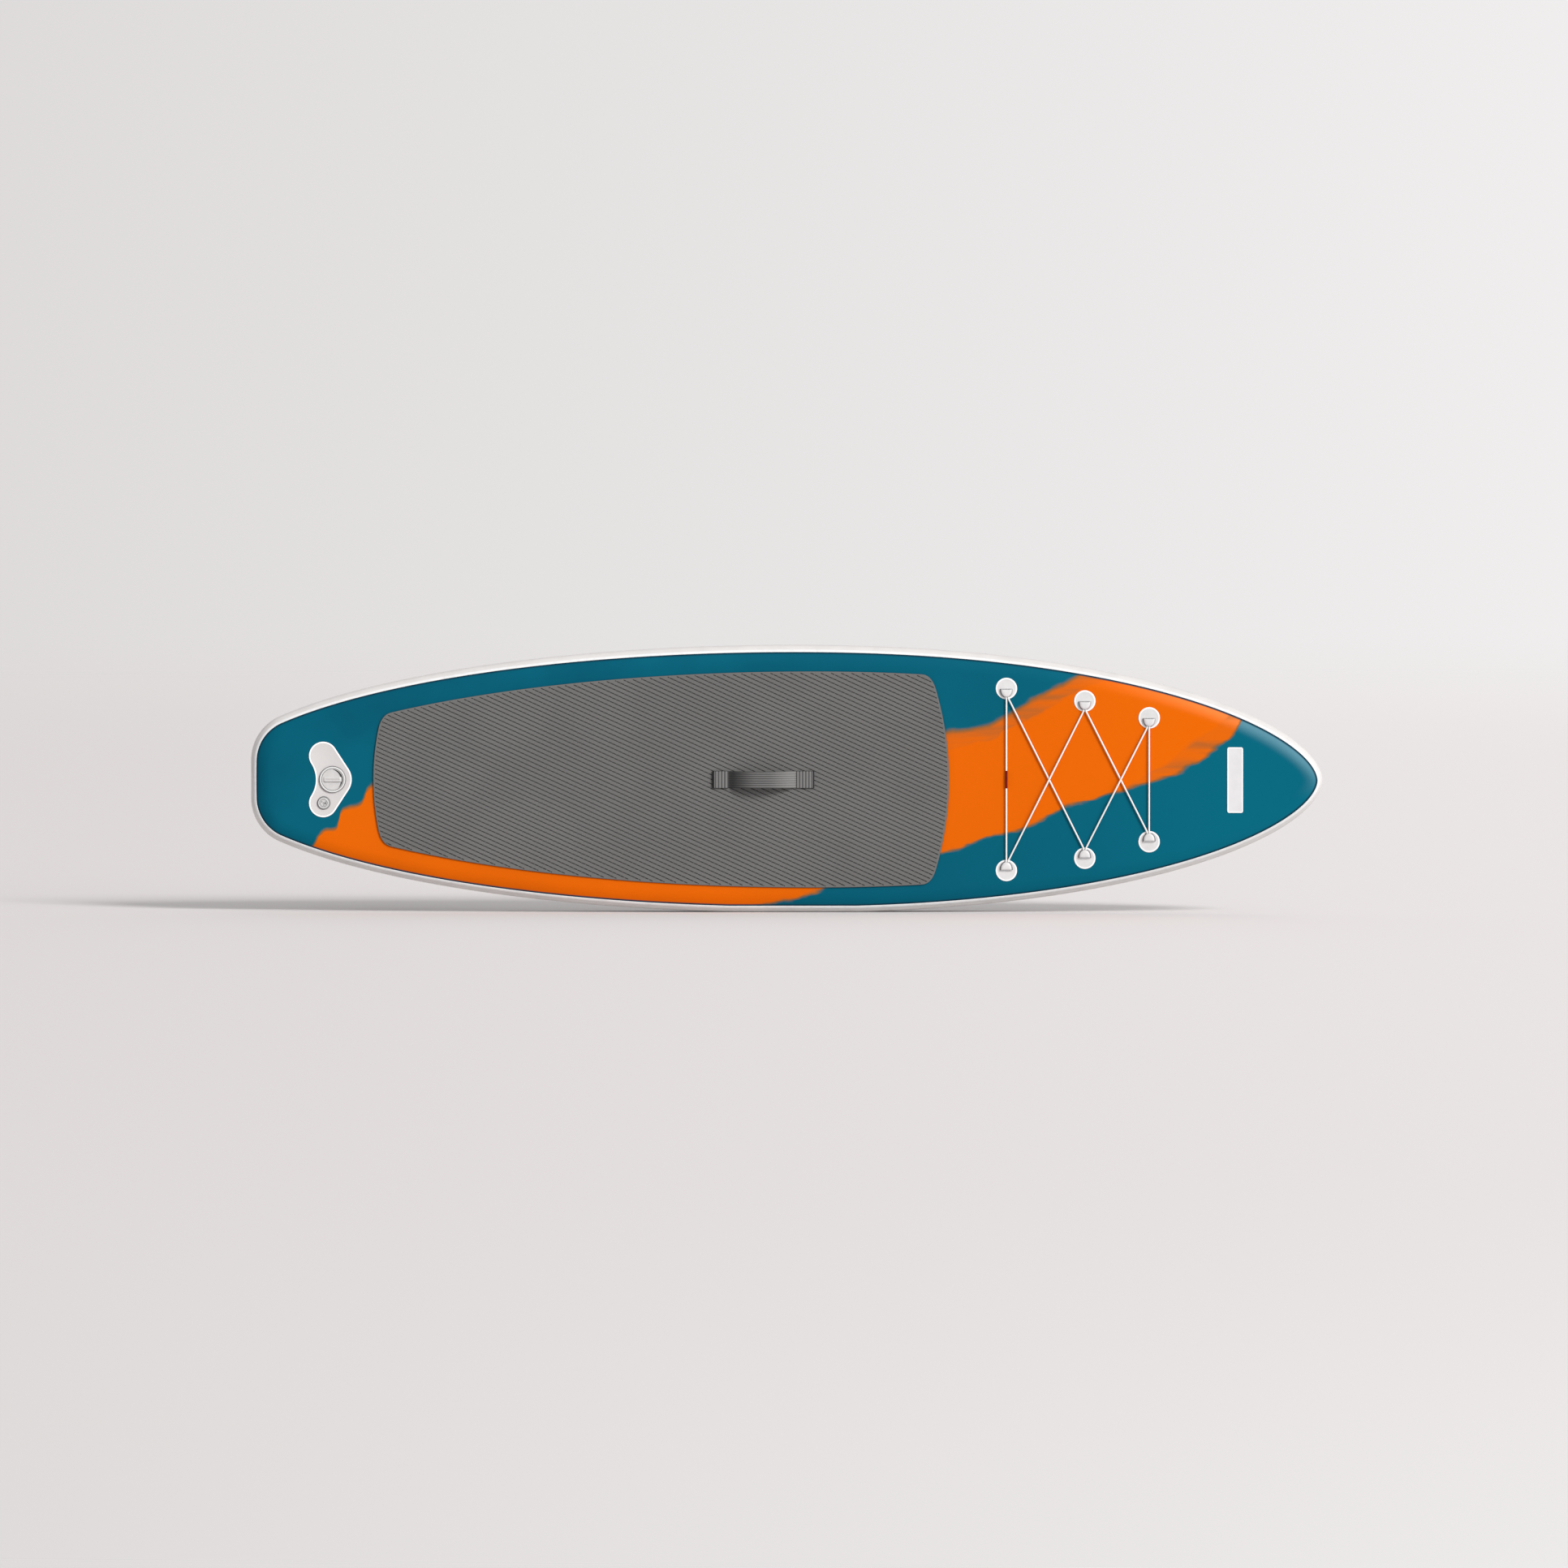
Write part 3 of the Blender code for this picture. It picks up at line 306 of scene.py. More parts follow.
# the lower rail is pressed flat where the board stands on it
edge_v = np.maximum(edge_v, -SIDE)
out_x, out_v = outward(edge_x, edge_v)
steps_round = np.hypot(np.roll(edge_x, -1) - edge_x, np.roll(edge_v, -1) - edge_v)
edge_length = np.concatenate([[0], np.cumsum(steps_round)])
tip_share = np.exp(-(edge_v / TIP_REACH) ** 2)
shoulder = SHOULDER - NOSE_SHOULDER_LESS * tip_share * (edge_x > 0)


def angle_at(inset):
    """Angle on the rail's quarter round whose cosine is 1 less inset over the shoulder.

    The inset is a little less at the board's two tips."""
    return np.arccos(1 - (inset - TIP_LESS * tip_share) / shoulder)


def on_rail(angle, lift, side):
    """The rail: a quarter ellipse from the side wall, angle 0, to the face, a quarter turn.

    lift is the distance out of the surface; side is 1 for the deck and -1 for the hull."""
    inset = (shoulder + lift) * (1 - np.cos(angle)) - lift
    rise = RAIL_FLAT + (DECK - RAIL_FLAT + lift) * np.sin(angle)
    x = edge_x - out_x * inset
    v = edge_v - out_v * inset
    return standing(x, v, side * rise + rocker(x))


def grid_mesh(name, points, uv=None, around=False, over=False, cap=False, base=False):
    """Mesh of the grid points[row, column].

    around joins the last column to the first, over the last row to the first; cap and base
    close the last and first rows with one face. A joined uv has one column more."""
    rows, columns = points.shape[:2]
    row, column = np.meshgrid(np.arange(rows if over else rows - 1),
                              np.arange(columns if around else columns - 1), indexing="ij")
    row = np.stack([row, row, row + 1, row + 1], -1).reshape(-1, 4)
    column = np.stack([column, column + 1, column + 1, column], -1).reshape(-1, 4)
    faces = ((row % rows) * columns + column % columns).tolist()
    if cap:
        faces.append(list(range((rows - 1) * columns, rows * columns)))
    if base:
        faces.append(list(range(columns)))
    mesh = bpy.data.meshes.new(name)
    mesh.from_pydata(points.reshape(-1, 3).tolist(), [], faces)
    if uv is not None:
        layer = mesh.uv_layers.new(name="UVMap")
        spots = np.zeros((len(mesh.loops), 2), np.float32)
        spots[:row.size] = uv[row, column].reshape(-1, 2)
        layer.data.foreach_set("uv", spots.ravel())
    return mesh


def merged(meshes):
    """The meshes in one, with points that meet made one point."""
    bm = bmesh.new()
    for mesh in meshes:
        bm.from_mesh(mesh)
        bpy.data.meshes.remove(mesh)
    bmesh.ops.remove_doubles(bm, verts=bm.verts, dist=2e-6)
    return bm


def finished(name, bm):
    mesh = bpy.data.meshes.new(name)
    bm.to_mesh(mesh)
    bm.free()
    return mesh


def piece(name, meshes, finish, stands_for, body="board", sharp=40, wall=0.0):
    """One finished piece from its meshes, merged, turned outwards and set on its body.

    An open shell gets a wall, inwards. Its outside is the side for which normal times place,
    summed over the faces, is above 0."""
    bm = merged(meshes)
    bmesh.ops.recalc_face_normals(bm, faces=bm.faces)
    if wall:
        middle = sum((vert.co for vert in bm.verts), Vector()) / len(bm.verts)
        middle.y = 0
        facing = sum(face.normal.dot(face.calc_center_median() - middle) * face.calc_area()
                     for face in bm.faces)
        if facing < 0:
            bmesh.ops.reverse_faces(bm, faces=bm.faces)
    mesh = finished(name, bm)
    mesh.materials.append(finish.material)
    mesh.shade_smooth()
    mesh.set_sharp_from_angle(angle=math.radians(sharp))
    obj = placed(name, mesh)
    if wall:
        solid = obj.modifiers.new("wall", "SOLIDIFY")
        solid.thickness = wall
        solid.offset = -1
        solid.use_even_offset = True
    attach(obj, body)
    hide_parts(stands_for)
    return obj


def coated_cloth(finish, grain=0.00006, wave=0.0006):
    """Relief of coated cloth: a fine plain weave under the skin, and slow unevenness."""
    here = finish.place()
    finish.bump(here.noise(7, 2.0), wave)
    finish.bump(here.noise(900, 1.0), grain, 0.5)


TEAL = (0.0010, 0.100, 0.156)
TEAL_DEEP_AND_SHADE = (0.0007, 0.080, 0.130)
TEAL_LIT_NOSE = (0.0010, 0.125, 0.190)
ORANGE = (0.67, 0.115, 0.0008)
ORANGE_DEEP_AND_SHADE = (0.56, 0.096, 0.0008)
ORANGE_LIT_NOSE = (0.76, 0.133, 0.0008)
TEAL_SHEEN = (0.085, 0.230, 0.300)
ORANGE_SHEEN = (0.84, 0.205, 0.042)
THIN_ORANGE = (0.25, 0.105, 0.030)
CUT_EDGE_AND_SHADE = (0.003, 0.036, 0.062)

WIDE_LOW = [(0, 0.200), (0.26, 0.312), (0.50, 0.440), (0.68, 0.512), (0.82, 0.640),
            (0.91, 0.800), (1, 0.980)]
WIDE_HIGH = [(0, 0.650), (0.22, 0.735), (0.36, 0.835), (0.48, 0.930), (1, 1)]
NARROW_TOP = [(0, 0.180), (0.04, 0.240), (0.075, 0.315), (0.097, 0.325), (0.108, 0.395),
              (0.150, 0.425), (0.165, 0.470), (0.24, 0.520), (0.60, 0.300), (1, 0.120)]
BRUSH_SLANT = math.radians(24)


def print_colours(finish, sheen_mask):
    """Teal and orange by place: two brushed bands, each an area between smooth curves.

    A curve gives a share of the board's width for a share of the band's run. Places are shifted by
    noise that is drawn out along the brush stroke. Both inks are painted darker in patches weighted
    towards the tail, lighter towards the nose, and paler where the mask passed in lays a painted sheen."""
    here = finish.place()
    streak = finish.place(turn=(0, BRUSH_SLANT, 0), scale=(2.2, 1, 26)).noise(1.0, 3.0, 0.55)
    shift = streak * 0.030 + here.noise(9.0) * 0.050 - 0.040
    x = here.part("X")
    v = here.part("Z") - SIDE
    across = v + shift

    def past(start, run, points):
        """How far a place lies across the board from the curve with that start and run."""
        share = ((x - start) * (1 / run)).curve(points)
        return across - (share * (2 * HALF_WIDTH) - HALF_WIDTH)

    # the wide band rises from the pad to the upper rim
    over_low = past(0.40, 1.10, WIDE_LOW)
    over_high = past(0.40, 1.10, WIDE_HIGH)
    band = over_low.step(-0.011, 0.012) * over_high.step(-0.016, 0.016, 1, 0)
    thin_edge = x.step(0.95, 1.25, 0.004, 0.085)
    veil = over_low.step(-0.004, thin_edge) * over_high.step(-0.060, -0.020, 1, 0)

    # the narrow band runs along the lower rim, from the tail to the middle
    end = (v + 0.328) * 1.84 - 0.126 + shift
    strip = past(-1.48, 1.40, NARROW_TOP).step(-0.013, 0.013, 1, 0) * (end - x).step(-0.015, 0.016)

    thin = streak.step(0.30, 0.62, 0.62, 0.90)
    cover = band.most(strip) * veil.most(strip).most(thin)
    # painted light: deeper patches at random, weighted towards the tail as painted shade, and both inks
    # painted lighter towards the nose as if lit more there
    cloud_and_tail_shade = here.noise(3.2).step(0.35, 0.70) * x.step(-0.6, 1.2, 1, 0)
    toward_lit_nose = x.step(0.6, 1.5)
    teal = cloud_and_tail_shade.between(toward_lit_nose.between(TEAL, TEAL_LIT_NOSE), TEAL_DEEP_AND_SHADE)
    orange = (cloud_and_tail_shade * 0.35).between(toward_lit_nose.between(ORANGE, ORANGE_LIT_NOSE), ORANGE_DEEP_AND_SHADE)
    # painted highlight: both inks mixed paler where the sheen mask lies
    teal = sheen_mask.between(teal, TEAL_SHEEN)
    orange = sheen_mask.between(orange, ORANGE_SHEEN)
    under = cover.step(0.05, 0.55).between(teal, THIN_ORANGE)
    return cover.step(0.40, 1.0).between(under, orange)


deck_print = Finish("deck_print", TEAL, 0.45, specular=0.04)
from_cut = deck_print.place("UV").part("Y")
deck_at = deck_print.place()
# painted sheen: a pale band near the cut edge on the nose's upper shoulder, where a highlight falls
upper_nose_sheen = deck_at.part("X").step(0.85, 1.35) * deck_at.part("Z").step(SIDE - 0.06, SIDE + 0.08)
inks = print_colours(deck_print, upper_nose_sheen * from_cut.step(0.014, 0.052, 1, 0))
# a dark band next to the tape: the print's dark edge, and painted shade where the proud tape shades the
# deck
deck_print.paint(from_cut.step(0.0060, 0.0115, 1, 0).between(inks, CUT_EDGE_AND_SHADE))
coated_cloth(deck_print)


def laminate(name, side):
    """Rows up the shoulder from the seam, then rows that draw in to the middle line."""
    low = angle_at(SEAM_IN + SEAM_GAP)
    climb = np.linspace(0, 1, 14)[:, None]
    rail = on_rail(low + (math.pi / 2 - low) * climb, 0.0, side)
    ring = rail[-1]
    mirrored = np.concatenate([ring[:1], ring[:0:-1]])
    middle_x = 0.92 * (ring[:, 0] + mirrored[:, 0]) / 2
    share = np.linspace(0, 1, 13)[1:, None]
    x = ring[:, 0] * (1 - share) + middle_x * share
    v = (ring[:, 2] - SIDE) * (1 - share)
    face = on_deck(x, v, 0) if side > 0 else on_hull(x, v, 0)
    points = np.concatenate([rail, face])
    reach = np.linalg.norm(np.diff(points, axis=0), axis=2)
    reach = np.concatenate([np.zeros((1, len(edge_x))), np.cumsum(reach, axis=0)])
    reach = np.concatenate([reach, reach[:, :1]], axis=1)
    uv = np.stack([np.broadcast_to(edge_length, reach.shape), reach], -1)
    return grid_mesh(name, points, uv, around=True)


piece("printed_deck", [laminate("printed_deck", 1)], deck_print, "deck_skin",
      sharp=35, wall=LAMINATE)

# Hull laminate. The same coated cloth on the underside, left plain and pale; water and sand
# leave it a little soiled.
HULL_PALE = (0.70, 0.70, 0.69)
HULL_SOILED = (0.64, 0.635, 0.62)
hull_cloth = Finish("hull_cloth", HULL_PALE, 0.45)
soil = hull_cloth.place(scale=(0.5, 1, 2)).noise(3.0, 4.0).step(0.3, 0.7)
hull_cloth.paint(soil.between(HULL_PALE, HULL_SOILED))
coated_cloth(hull_cloth)
piece("plain_hull", [laminate("plain_hull", -1)], hull_cloth, "hull_skin",
      sharp=35, wall=LAMINATE)

# Rail. A band of thicker coated cloth glued all round over the side wall; the tape over
# each seam is a narrow strip welded on last, so it stands a little proud.
RAIL_PALE = (0.655, 0.638, 0.628)
RAIL_RUBBED = (0.605, 0.588, 0.578)
TAPE_WHITE = (0.76, 0.765, 0.77)
TAPE_PRESSED = (0.71, 0.715, 0.72)
TAPE_FROM = 0.013
TAPE_TO = 0.020
TAPE = 0.0012
TAPE_LIFT = 0.0006

rail_cloth = Finish("rail_cloth", RAIL_PALE, 0.48)
rub = rail_cloth.place().noise(14, 4.0, 0.6)
rail_cloth.paint(rub.step(0.40, 0.75).between(RAIL_PALE, RAIL_RUBBED),
                 rub.step(0.3, 0.7, 0.42, 0.55))
coated_cloth(rail_cloth)
down = angle_at(SEAM_IN - SEAM_GAP) * np.linspace(1, 0, 9)[:, None]
wall_rows = np.concatenate([on_rail(down, 0.0, 1), on_rail(down[::-1], 0.0, -1)])
piece("rail_wall", [grid_mesh("rail_wall", wall_rows, around=True)], rail_cloth,
      "rail_band", sharp=35, wall=LAMINATE)

weld_tape = Finish("weld_tape", TAPE_WHITE, 0.36)
press = weld_tape.place().noise(60)
weld_tape.paint(press.step(0.45, 0.7).between(TAPE_WHITE, TAPE_PRESSED))
weld_tape.bump(press, 0.0003, 0.7)
tape_section = [(TAPE_FROM, 0.0), (TAPE_FROM, 0.7), (TAPE_FROM + 0.0005, 1.0),
                (SEAM_IN, 1.0), (TAPE_TO - 0.0005, 1.0), (TAPE_TO, 0.7), (TAPE_TO, 0.0)]
for name, side in (("deck", 1), ("hull", -1)):
    rows = np.stack([on_rail(angle_at(inset), TAPE_LIFT + TAPE * part, side)
                     for inset, part in tape_section])
    piece(f"{name}_tape", [grid_mesh("tape", rows, around=True, over=True)], weld_tape,
          f"seam_tape_{name}", sharp=35)

# Valve plate. A piece of thick pale sheet with three round lobes, cut to shape and welded on
# the tail; its pressed edge stands up as a bead, and both valves are clamped through it.
VALVE = (-1.356, 0.0)
RELIEF = (-1.382, -0.070)
VALVE_LOBE = 0.0575
END_LOBE_AT = (-1.384, 0.0705)
END_LOBE = 0.0425
WAIST = -1.406
PLATE_UNDER = 0.3
PLATE_TOP = 1.8
BARREL_HOLE = 22.3
RELIEF_HOLE = 12.3
PLATE_PALE = (0.580, 0.562, 0.558)
PLATE_HANDLED = (0.56, 0.545, 0.54)
PLATE_SEAM_SHADE = (0.09, 0.09, 0.10)
SEAM_SHADE_WIDE = 0.0016
SHEET_HIGHLIGHT = (0.94, 0.94, 0.94)


def bend(start, corner, end, steps):
    """A corner as a quadratic curve that touches both of its legs."""
    share = np.linspace(0, 1, steps).reshape(-1, *[1] * np.ndim(start))
    return (np.asarray(start) * (1 - share) ** 2 + 2 * np.asarray(corner) * share * (1 - share)
            + np.asarray(end) * share ** 2)


def formed(x, v, profile, surface=on_deck):
    """Rows of an edge: the outline drawn in by inset, at height, both given in mm."""
    side_x, side_v = outward(x, v)
    inset, height = np.array(profile).T[..., None] / 1000
    return surface(x - side_x * inset, v - side_v * inset, height)


def whole_turn(steps):
    """Angles of a whole turn, in even steps."""
    return np.linspace(0, 2 * math.pi, steps, endpoint=False)


def turned(name, profile, centre, steps=96, over=False, surface=on_deck):
    """Rings round a centre x, v: the profile's radii and heights in mm, turned all round.

    The UV map is the radius in metres, and turns round."""
    angle = whole_turn(steps)
    radius, height = np.array(profile, float).T[..., None] / 1000
    uv = np.broadcast_arrays(np.append(radius, radius[:1], 0), np.linspace(0, 1, steps + 1))
    return grid_mesh(name, surface(centre[0] + radius * np.cos(angle),
                                   centre[1] + radius * np.sin(angle), height),
                     np.stack(uv, -1), around=True, over=over)


def softened(points, reach, steps=5, closed=False):
    """The line with its corners eased: a quadratic curve from reach before to reach after."""
    corner = np.asarray(points, float)
    sides = []
    for other in (np.roll(corner, 1, 0), np.roll(corner, -1, 0)):
        way = other - corner
        size = np.maximum(np.linalg.norm(way, axis=1, keepdims=True), 1e-9)
        sides.append(corner + way / size * np.minimum(reach, 0.45 * size))
    if not closed:
        for line in sides:
            line[[0, -1]] = corner[[0, -1]]
    eased = bend(sides[0], corner, sides[1], steps).transpose(1, 0, 2)
    return eased.reshape(-1, corner.shape[1])


def filled(name, meshes, levels):
    """The meshes joined, and the flat between their open rims filled at each world y."""
    bm = merged(meshes)
    for level in levels:
        rims = [edge for edge in bm.edges if edge.is_boundary
                and max(abs(vert.co.y - level) for vert in edge.verts) < 1e-5]
        bmesh.ops.triangle_fill(bm, use_beauty=False, edges=rims, normal=(0, -1, 0))
    return finished(name, bm)


def arc(centre, radius, start, end, steps):
    angle = np.linspace(start, end, steps)
    return np.stack([centre[0] + radius * np.cos(angle), centre[1] + radius * np.sin(angle)], -1)


def plate_outline():
    """Edge of the plate: an arc round the valve, a tangent to the end lobe, then a hollow arc.

    The hollow arc is the circle that touches both end lobes and the waist."""
    gap_x = VALVE[0] - END_LOBE_AT[0]
    gap_v = -END_LOBE_AT[1]
    touch = math.atan2(gap_v, gap_x) + math.acos((END_LOBE - VALVE_LOBE) / math.hypot(gap_x, gap_v))
    half = WAIST - END_LOBE_AT[0]
    hollow = (gap_v ** 2 + half ** 2 - END_LOBE ** 2) / (2 * (END_LOBE + half))
    meet = math.atan2(gap_v, WAIST - hollow - END_LOBE_AT[0]) + 2 * math.pi
    upper = np.concatenate([arc(VALVE, VALVE_LOBE, 0, touch, 30),
                            arc(END_LOBE_AT, END_LOBE, touch, meet, 60),
                            arc((WAIST - hollow, 0), hollow, meet - math.pi, 0, 30)])
    return both_halves(*even_steps(upper[:, 0], upper[:, 1], 150))


def height_mm(here):
    """How far a place lies out of the deck's flat face."""
    return (here.part("Y") + DECK) * -1000


def from_spot(here, spot):
    """How far a place lies from the spot x, v, measured along the deck."""
    x = here.part("X") - spot[0]
    v = here.part("Z") - (SIDE + spot[1])
    return (x * x + v * v).worked("SQRT")


pale_sheet = Finish("pale_sheet", PLATE_PALE, 0.42)
plate_at = pale_sheet.place()
plate_color = PLATE_PALE
# painted shade: a dark ring on the plate just outside each valve's flange, where shade falls in the
# seam
for spot, radius in ((VALVE, 0.0397), (RELIEF, 0.0191)):
    seam_shade = from_spot(plate_at, spot).step(radius, radius + SEAM_SHADE_WIDE, 0.90, 0)
    plate_color = seam_shade.between(plate_color, PLATE_SEAM_SHADE)
handled = plate_at.noise(30).step(0.35, 0.70) * 0.35
plate_color = handled.between(plate_color, PLATE_HANDLED)
# painted highlight along the top of the pressed bead
bead = height_mm(plate_at).step(PLATE_TOP + 0.02, PLATE_TOP + 0.12)
pale_sheet.paint(bead.between(plate_color, SHEET_HIGHLIGHT))
coated_cloth(pale_sheet, 0.00005, 0.0003)
rim_x, rim_v = plate_outline()
rim = formed(rim_x, rim_v, [(0, PLATE_UNDER), (0, 1.3), (0.35, 1.9), (1.0, 2.2), (2.6, 2.2),
                            (3.8, 1.95), (4.6, PLATE_TOP)])
holes = [turned("hole", [(radius, PLATE_UNDER), (radius, PLATE_TOP)], centre, 72)
         for centre, radius in ((VALVE, BARREL_HOLE), (RELIEF, RELIEF_HOLE))]
plate = filled("valve_plate", [grid_mesh("rim", rim, around=True), *holes],
               [-DECK - PLATE_TOP / 1000, -DECK - PLATE_UNDER / 1000])
piece("tail_plate", [plate], pale_sheet, "valve_plate")

# Air valve. Moulded in hard pale plastic: a flanged barrel through the deck, screwed to a nut
# inside with a rubber ring between; a pin with a button, held shut by a spring, closes it.
HARD_PALE = (0.66, 0.66, 0.655)
HARD_DULL = (0.61, 0.61, 0.605)
# painted shade for the valves: its colour, and rings (middle and half width in mm, amount) at the gaps
# where shade falls
VALVE_SHADE = (0.11, 0.11, 0.11)
SHADE_RINGS = ((39.6, 1.9, 0.90), (18.2, 2.2, 0.92), (10.6, 1.8, 0.70))
BARREL = [(34.0, 7.4), (37.5, 7.4), (39.1, 6.3), (39.5, 4.7), (39.5, 2.1), (22.0, 2.1),
          (22.0, -34.0), (17.6, -34.0), (17.6, 3.4), (33.0, 3.4), (33.2, 6.8)]
HUB = [(4.3, -21.0), (7.5, -21.0), (7.5, -24.0), (4.3, -24.0)]
STEM_PIN = [(0, -7.1), (4.0, -7.1), (4.0, -36.6), (19.5, -36.6), (19.5, -39.2), (0, -39.2)]
BUTTON = [(0, -5.2), (3.0, -5.3), (5.5, -5.6), (6.2, -6.3), (6.2, -8.7), (4.3, -8.7),
          (4.3, -6.8), (0, -6.8)]


def moulded(name, color, dull, scale, painted_shade, shade_color):
    """Hard plastic: slow flow marks in a duller tone and gloss, and a fine moulded grain.

    The shade function gives the share of painted shade at each place of the finish, where it is mixed
    towards the shade colour."""
    finish = Finish(name, color, 0.36)
    here = finish.place()
    flow = here.noise(scale, 3.0, 0.6)
    tone = flow.step(0.35, 0.70).between(color, dull)
    finish.paint(painted_shade(finish).between(tone, shade_color), flow.step(0.3, 0.7, 0.30, 0.42))
    finish.bump(here.noise(1500, 1.0), 0.00002)
    return finish


def valve_shade(finish):
    """Painted shade down the barrel's mouth, in rings by the UV map's radius at the gaps between parts,
    and beside the relief valve's stem.

    A ring is given by its middle and half width in mm, and its amount."""
    here = finish.place()
    painted_shade = height_mm(here).step(3.3, 5.6, 0.72, 0)
    radius_mm = finish.place("UV").part("X") * 1000
    for middle, half, amount in SHADE_RINGS:
        painted_shade = painted_shade.most((radius_mm - middle).size().step(half - 0.7, half, amount, 0))
    beside_stem = from_spot(here, (RELIEF[0] + 0.0048, RELIEF[1] - 0.0016))
    return painted_shade.most(beside_stem.step(0.0018, 0.0046, 0.95, 0))


valve_plastic = moulded("valve_plastic", HARD_PALE, HARD_DULL, 45, valve_shade, VALVE_SHADE)
barrel = turned("barrel", softened(BARREL, 0.6, closed=True), VALVE, 144, over=True)
hub = turned("hub", softened(HUB, 0.3, closed=True), VALVE, 48, over=True)


def about(centre, turn, along, across):
    """Places along and across, turned about a centre x, v."""
    return (centre[0] + along * math.cos(turn) - across * math.sin(turn),
            centre[1] + along * math.sin(turn) + across * math.cos(turn))


def bar(name, near, far, wide, low, high, centre, angle):
    """A straight bar from radius near to far, its section a rectangle with eased edges, in mm."""
    section = softened([(-wide, low), (wide, low), (wide, high), (-wide, high)], 0.5, closed=True)
    reach = np.array([near, far])[:, None] / 1000
    x, v = about(centre, angle, reach, section[:, 0] / 1000)
    return grid_mesh(name, on_deck(x, v, section[:, 1] / 1000), around=True, cap=True, base=True)


spokes = [bar("spoke", 7.0, 18.2, 1.5, -23.8, -21.2, VALVE, 2 * math.pi * k / 3) for k in range(3)]
piece("valve_barrel", [barrel, hub, *spokes], valve_plastic, "valve_body")
piece("valve_stem_pin", [turned("pin", softened(STEM_PIN, 0.5), VALVE, 64)], valve_plastic,
      "valve_pin", body="valve_stem")
piece("valve_push_button", [turned("button", softened(BUTTON, 0.4), VALVE, 64)], valve_plastic,
      "valve_button", body="valve_stem")

# Valve cap. A moulded disc with a plug below; it has a grip bar across it and two hollows cut
# as crescents for the finger tips, and presses a rubber ring on the barrel's mouth.
CAP_TOP = 6.2
POCKET_DEEP = 1.9
POCKET_TURN = math.radians(17)
CAP_PALE = (0.56, 0.555, 0.55)
CAP_DULL = (0.51, 0.505, 0.50)
# painted shade colour for the cap's hollows and under its grip bar
CAP_SHADE = (0.030, 0.030, 0.030)
GRIP_ROWS = [(28.0, 8.5, 5.0, 5.6), (28.0, 8.5, 5.0, 6.3), (26.8, 7.9, 4.6, 7.0),
             (24.6, 7.0, 4.0, 8.4), (23.6, 6.4, 3.6, 9.0), (22.8, 5.8, 3.2, 9.2),
             (20.6, 1.5, 1.2, 9.2), (20.4, 1.3, 1.0, 9.1), (20.0, 0.9, 0.7, 8.2)]


def eased(value, low, high):
    """A smooth step of whole arrays, from 0 at low to 1 at high."""
    share = np.clip((value - low) / (high - low), 0, 1)
    return share * share * (3 - 2 * share)


def cap_disc():
    """Rows of a lathe with a crescent let in: the part of a disc outside a shifted circle.

    The underside follows the crescent's floor 0.7 mm below it."""
    angle = whole_turn(240)
    under = np.array([(0, -4.0), (16.2, -4.0), (16.8, -3.8), (17.0, -3.2), (17.0, 4.4),
                      (17.3, 4.9), (18, 5.0), (23.6, 5.0)])
    out = np.linspace(24.2, 31.0, 22)
    edge = np.array([(31.9, 5.0), (32.2, 5.2), (32.2, 5.7), (32.0, 6.0), (31.5, CAP_TOP)])
    radius = np.concatenate([under[:, 0], out, edge[:, 0], np.linspace(31.0, 24.2, 34), [12, 0]])
    base = np.concatenate([under[:, 1], 0 * out + 5.0, edge[:, 1], np.full(36, CAP_TOP)])
    radius, base = radius[:, None], base[:, None]
    side = radius * np.sin(angle)
    fore = radius * np.cos(angle)
    shift = 10 * math.cos(POCKET_TURN), 10 * math.sin(POCKET_TURN)
    deep = np.minimum(30.6 - radius, np.hypot(fore + shift[0], side + shift[1]) - 34.4)
    sunk = POCKET_DEEP * eased(deep, 0, 0.9)
    top = base - sunk
    below = np.minimum(base, CAP_TOP - sunk - 0.7)
    is_under = np.arange(len(base))[:, None] < len(under) + len(out)
    height = np.where(is_under, below, top) * np.ones_like(angle)
    return grid_mesh("cap", on_deck(VALVE[0] + fore / 1000, VALVE[1] + side / 1000,
                                    height / 1000), around=True)


def slab(name, centre, rows, turn=0.0, surface=on_deck, corner=7, side=8, cap=True, base=True):
    """Rows of rectangles with round corners: (half length, half width, corner, height) in mm.

    Each side between two corners is cut into even steps; turn is about the centre."""
    half_long, half_wide, radius, height = np.array(rows, float).T[:, :, None, None] / 1000
    quarter = np.arange(4)[None, :, None] * math.pi / 2
    angle = quarter + np.linspace(0, math.pi / 2, corner)
    way_x = np.sign(np.cos(quarter + math.pi / 4))
    way_v = np.sign(np.sin(quarter + math.pi / 4))
    spots = np.stack([way_x * (half_long - radius) + radius * np.cos(angle),
                      way_v * (half_wide - radius) + radius * np.sin(angle)], -1)
    share = np.linspace(0, 1, side + 2)[1:-1, None]
    last = spots[:, :, -1:]
    sides = last + share * (np.roll(spots[:, :, :1], -1, 1) - last)
    spots = np.concatenate([spots, sides], 2).reshape(len(rows), -1, 2)
    x, v = about(centre, turn, spots[..., 0], spots[..., 1])
    return grid_mesh(name, surface(x, v, height[:, 0]), around=True, cap=cap, base=base)


def cap_shade(finish):
    """Painted shade in the two hollows, and a painted shadow along the lower foot of the grip bar."""
    here = finish.place()
    height = height_mm(here)
    below_grip = here.part("Z").step(SIDE - 0.0074, SIDE - 0.0058, 1, 0)
    return height.step(CAP_TOP - 0.30, CAP_TOP - 0.02, 0.97, 0).most(
        height.step(CAP_TOP + 0.1, CAP_TOP + 0.4, 0, 0.60) * below_grip)


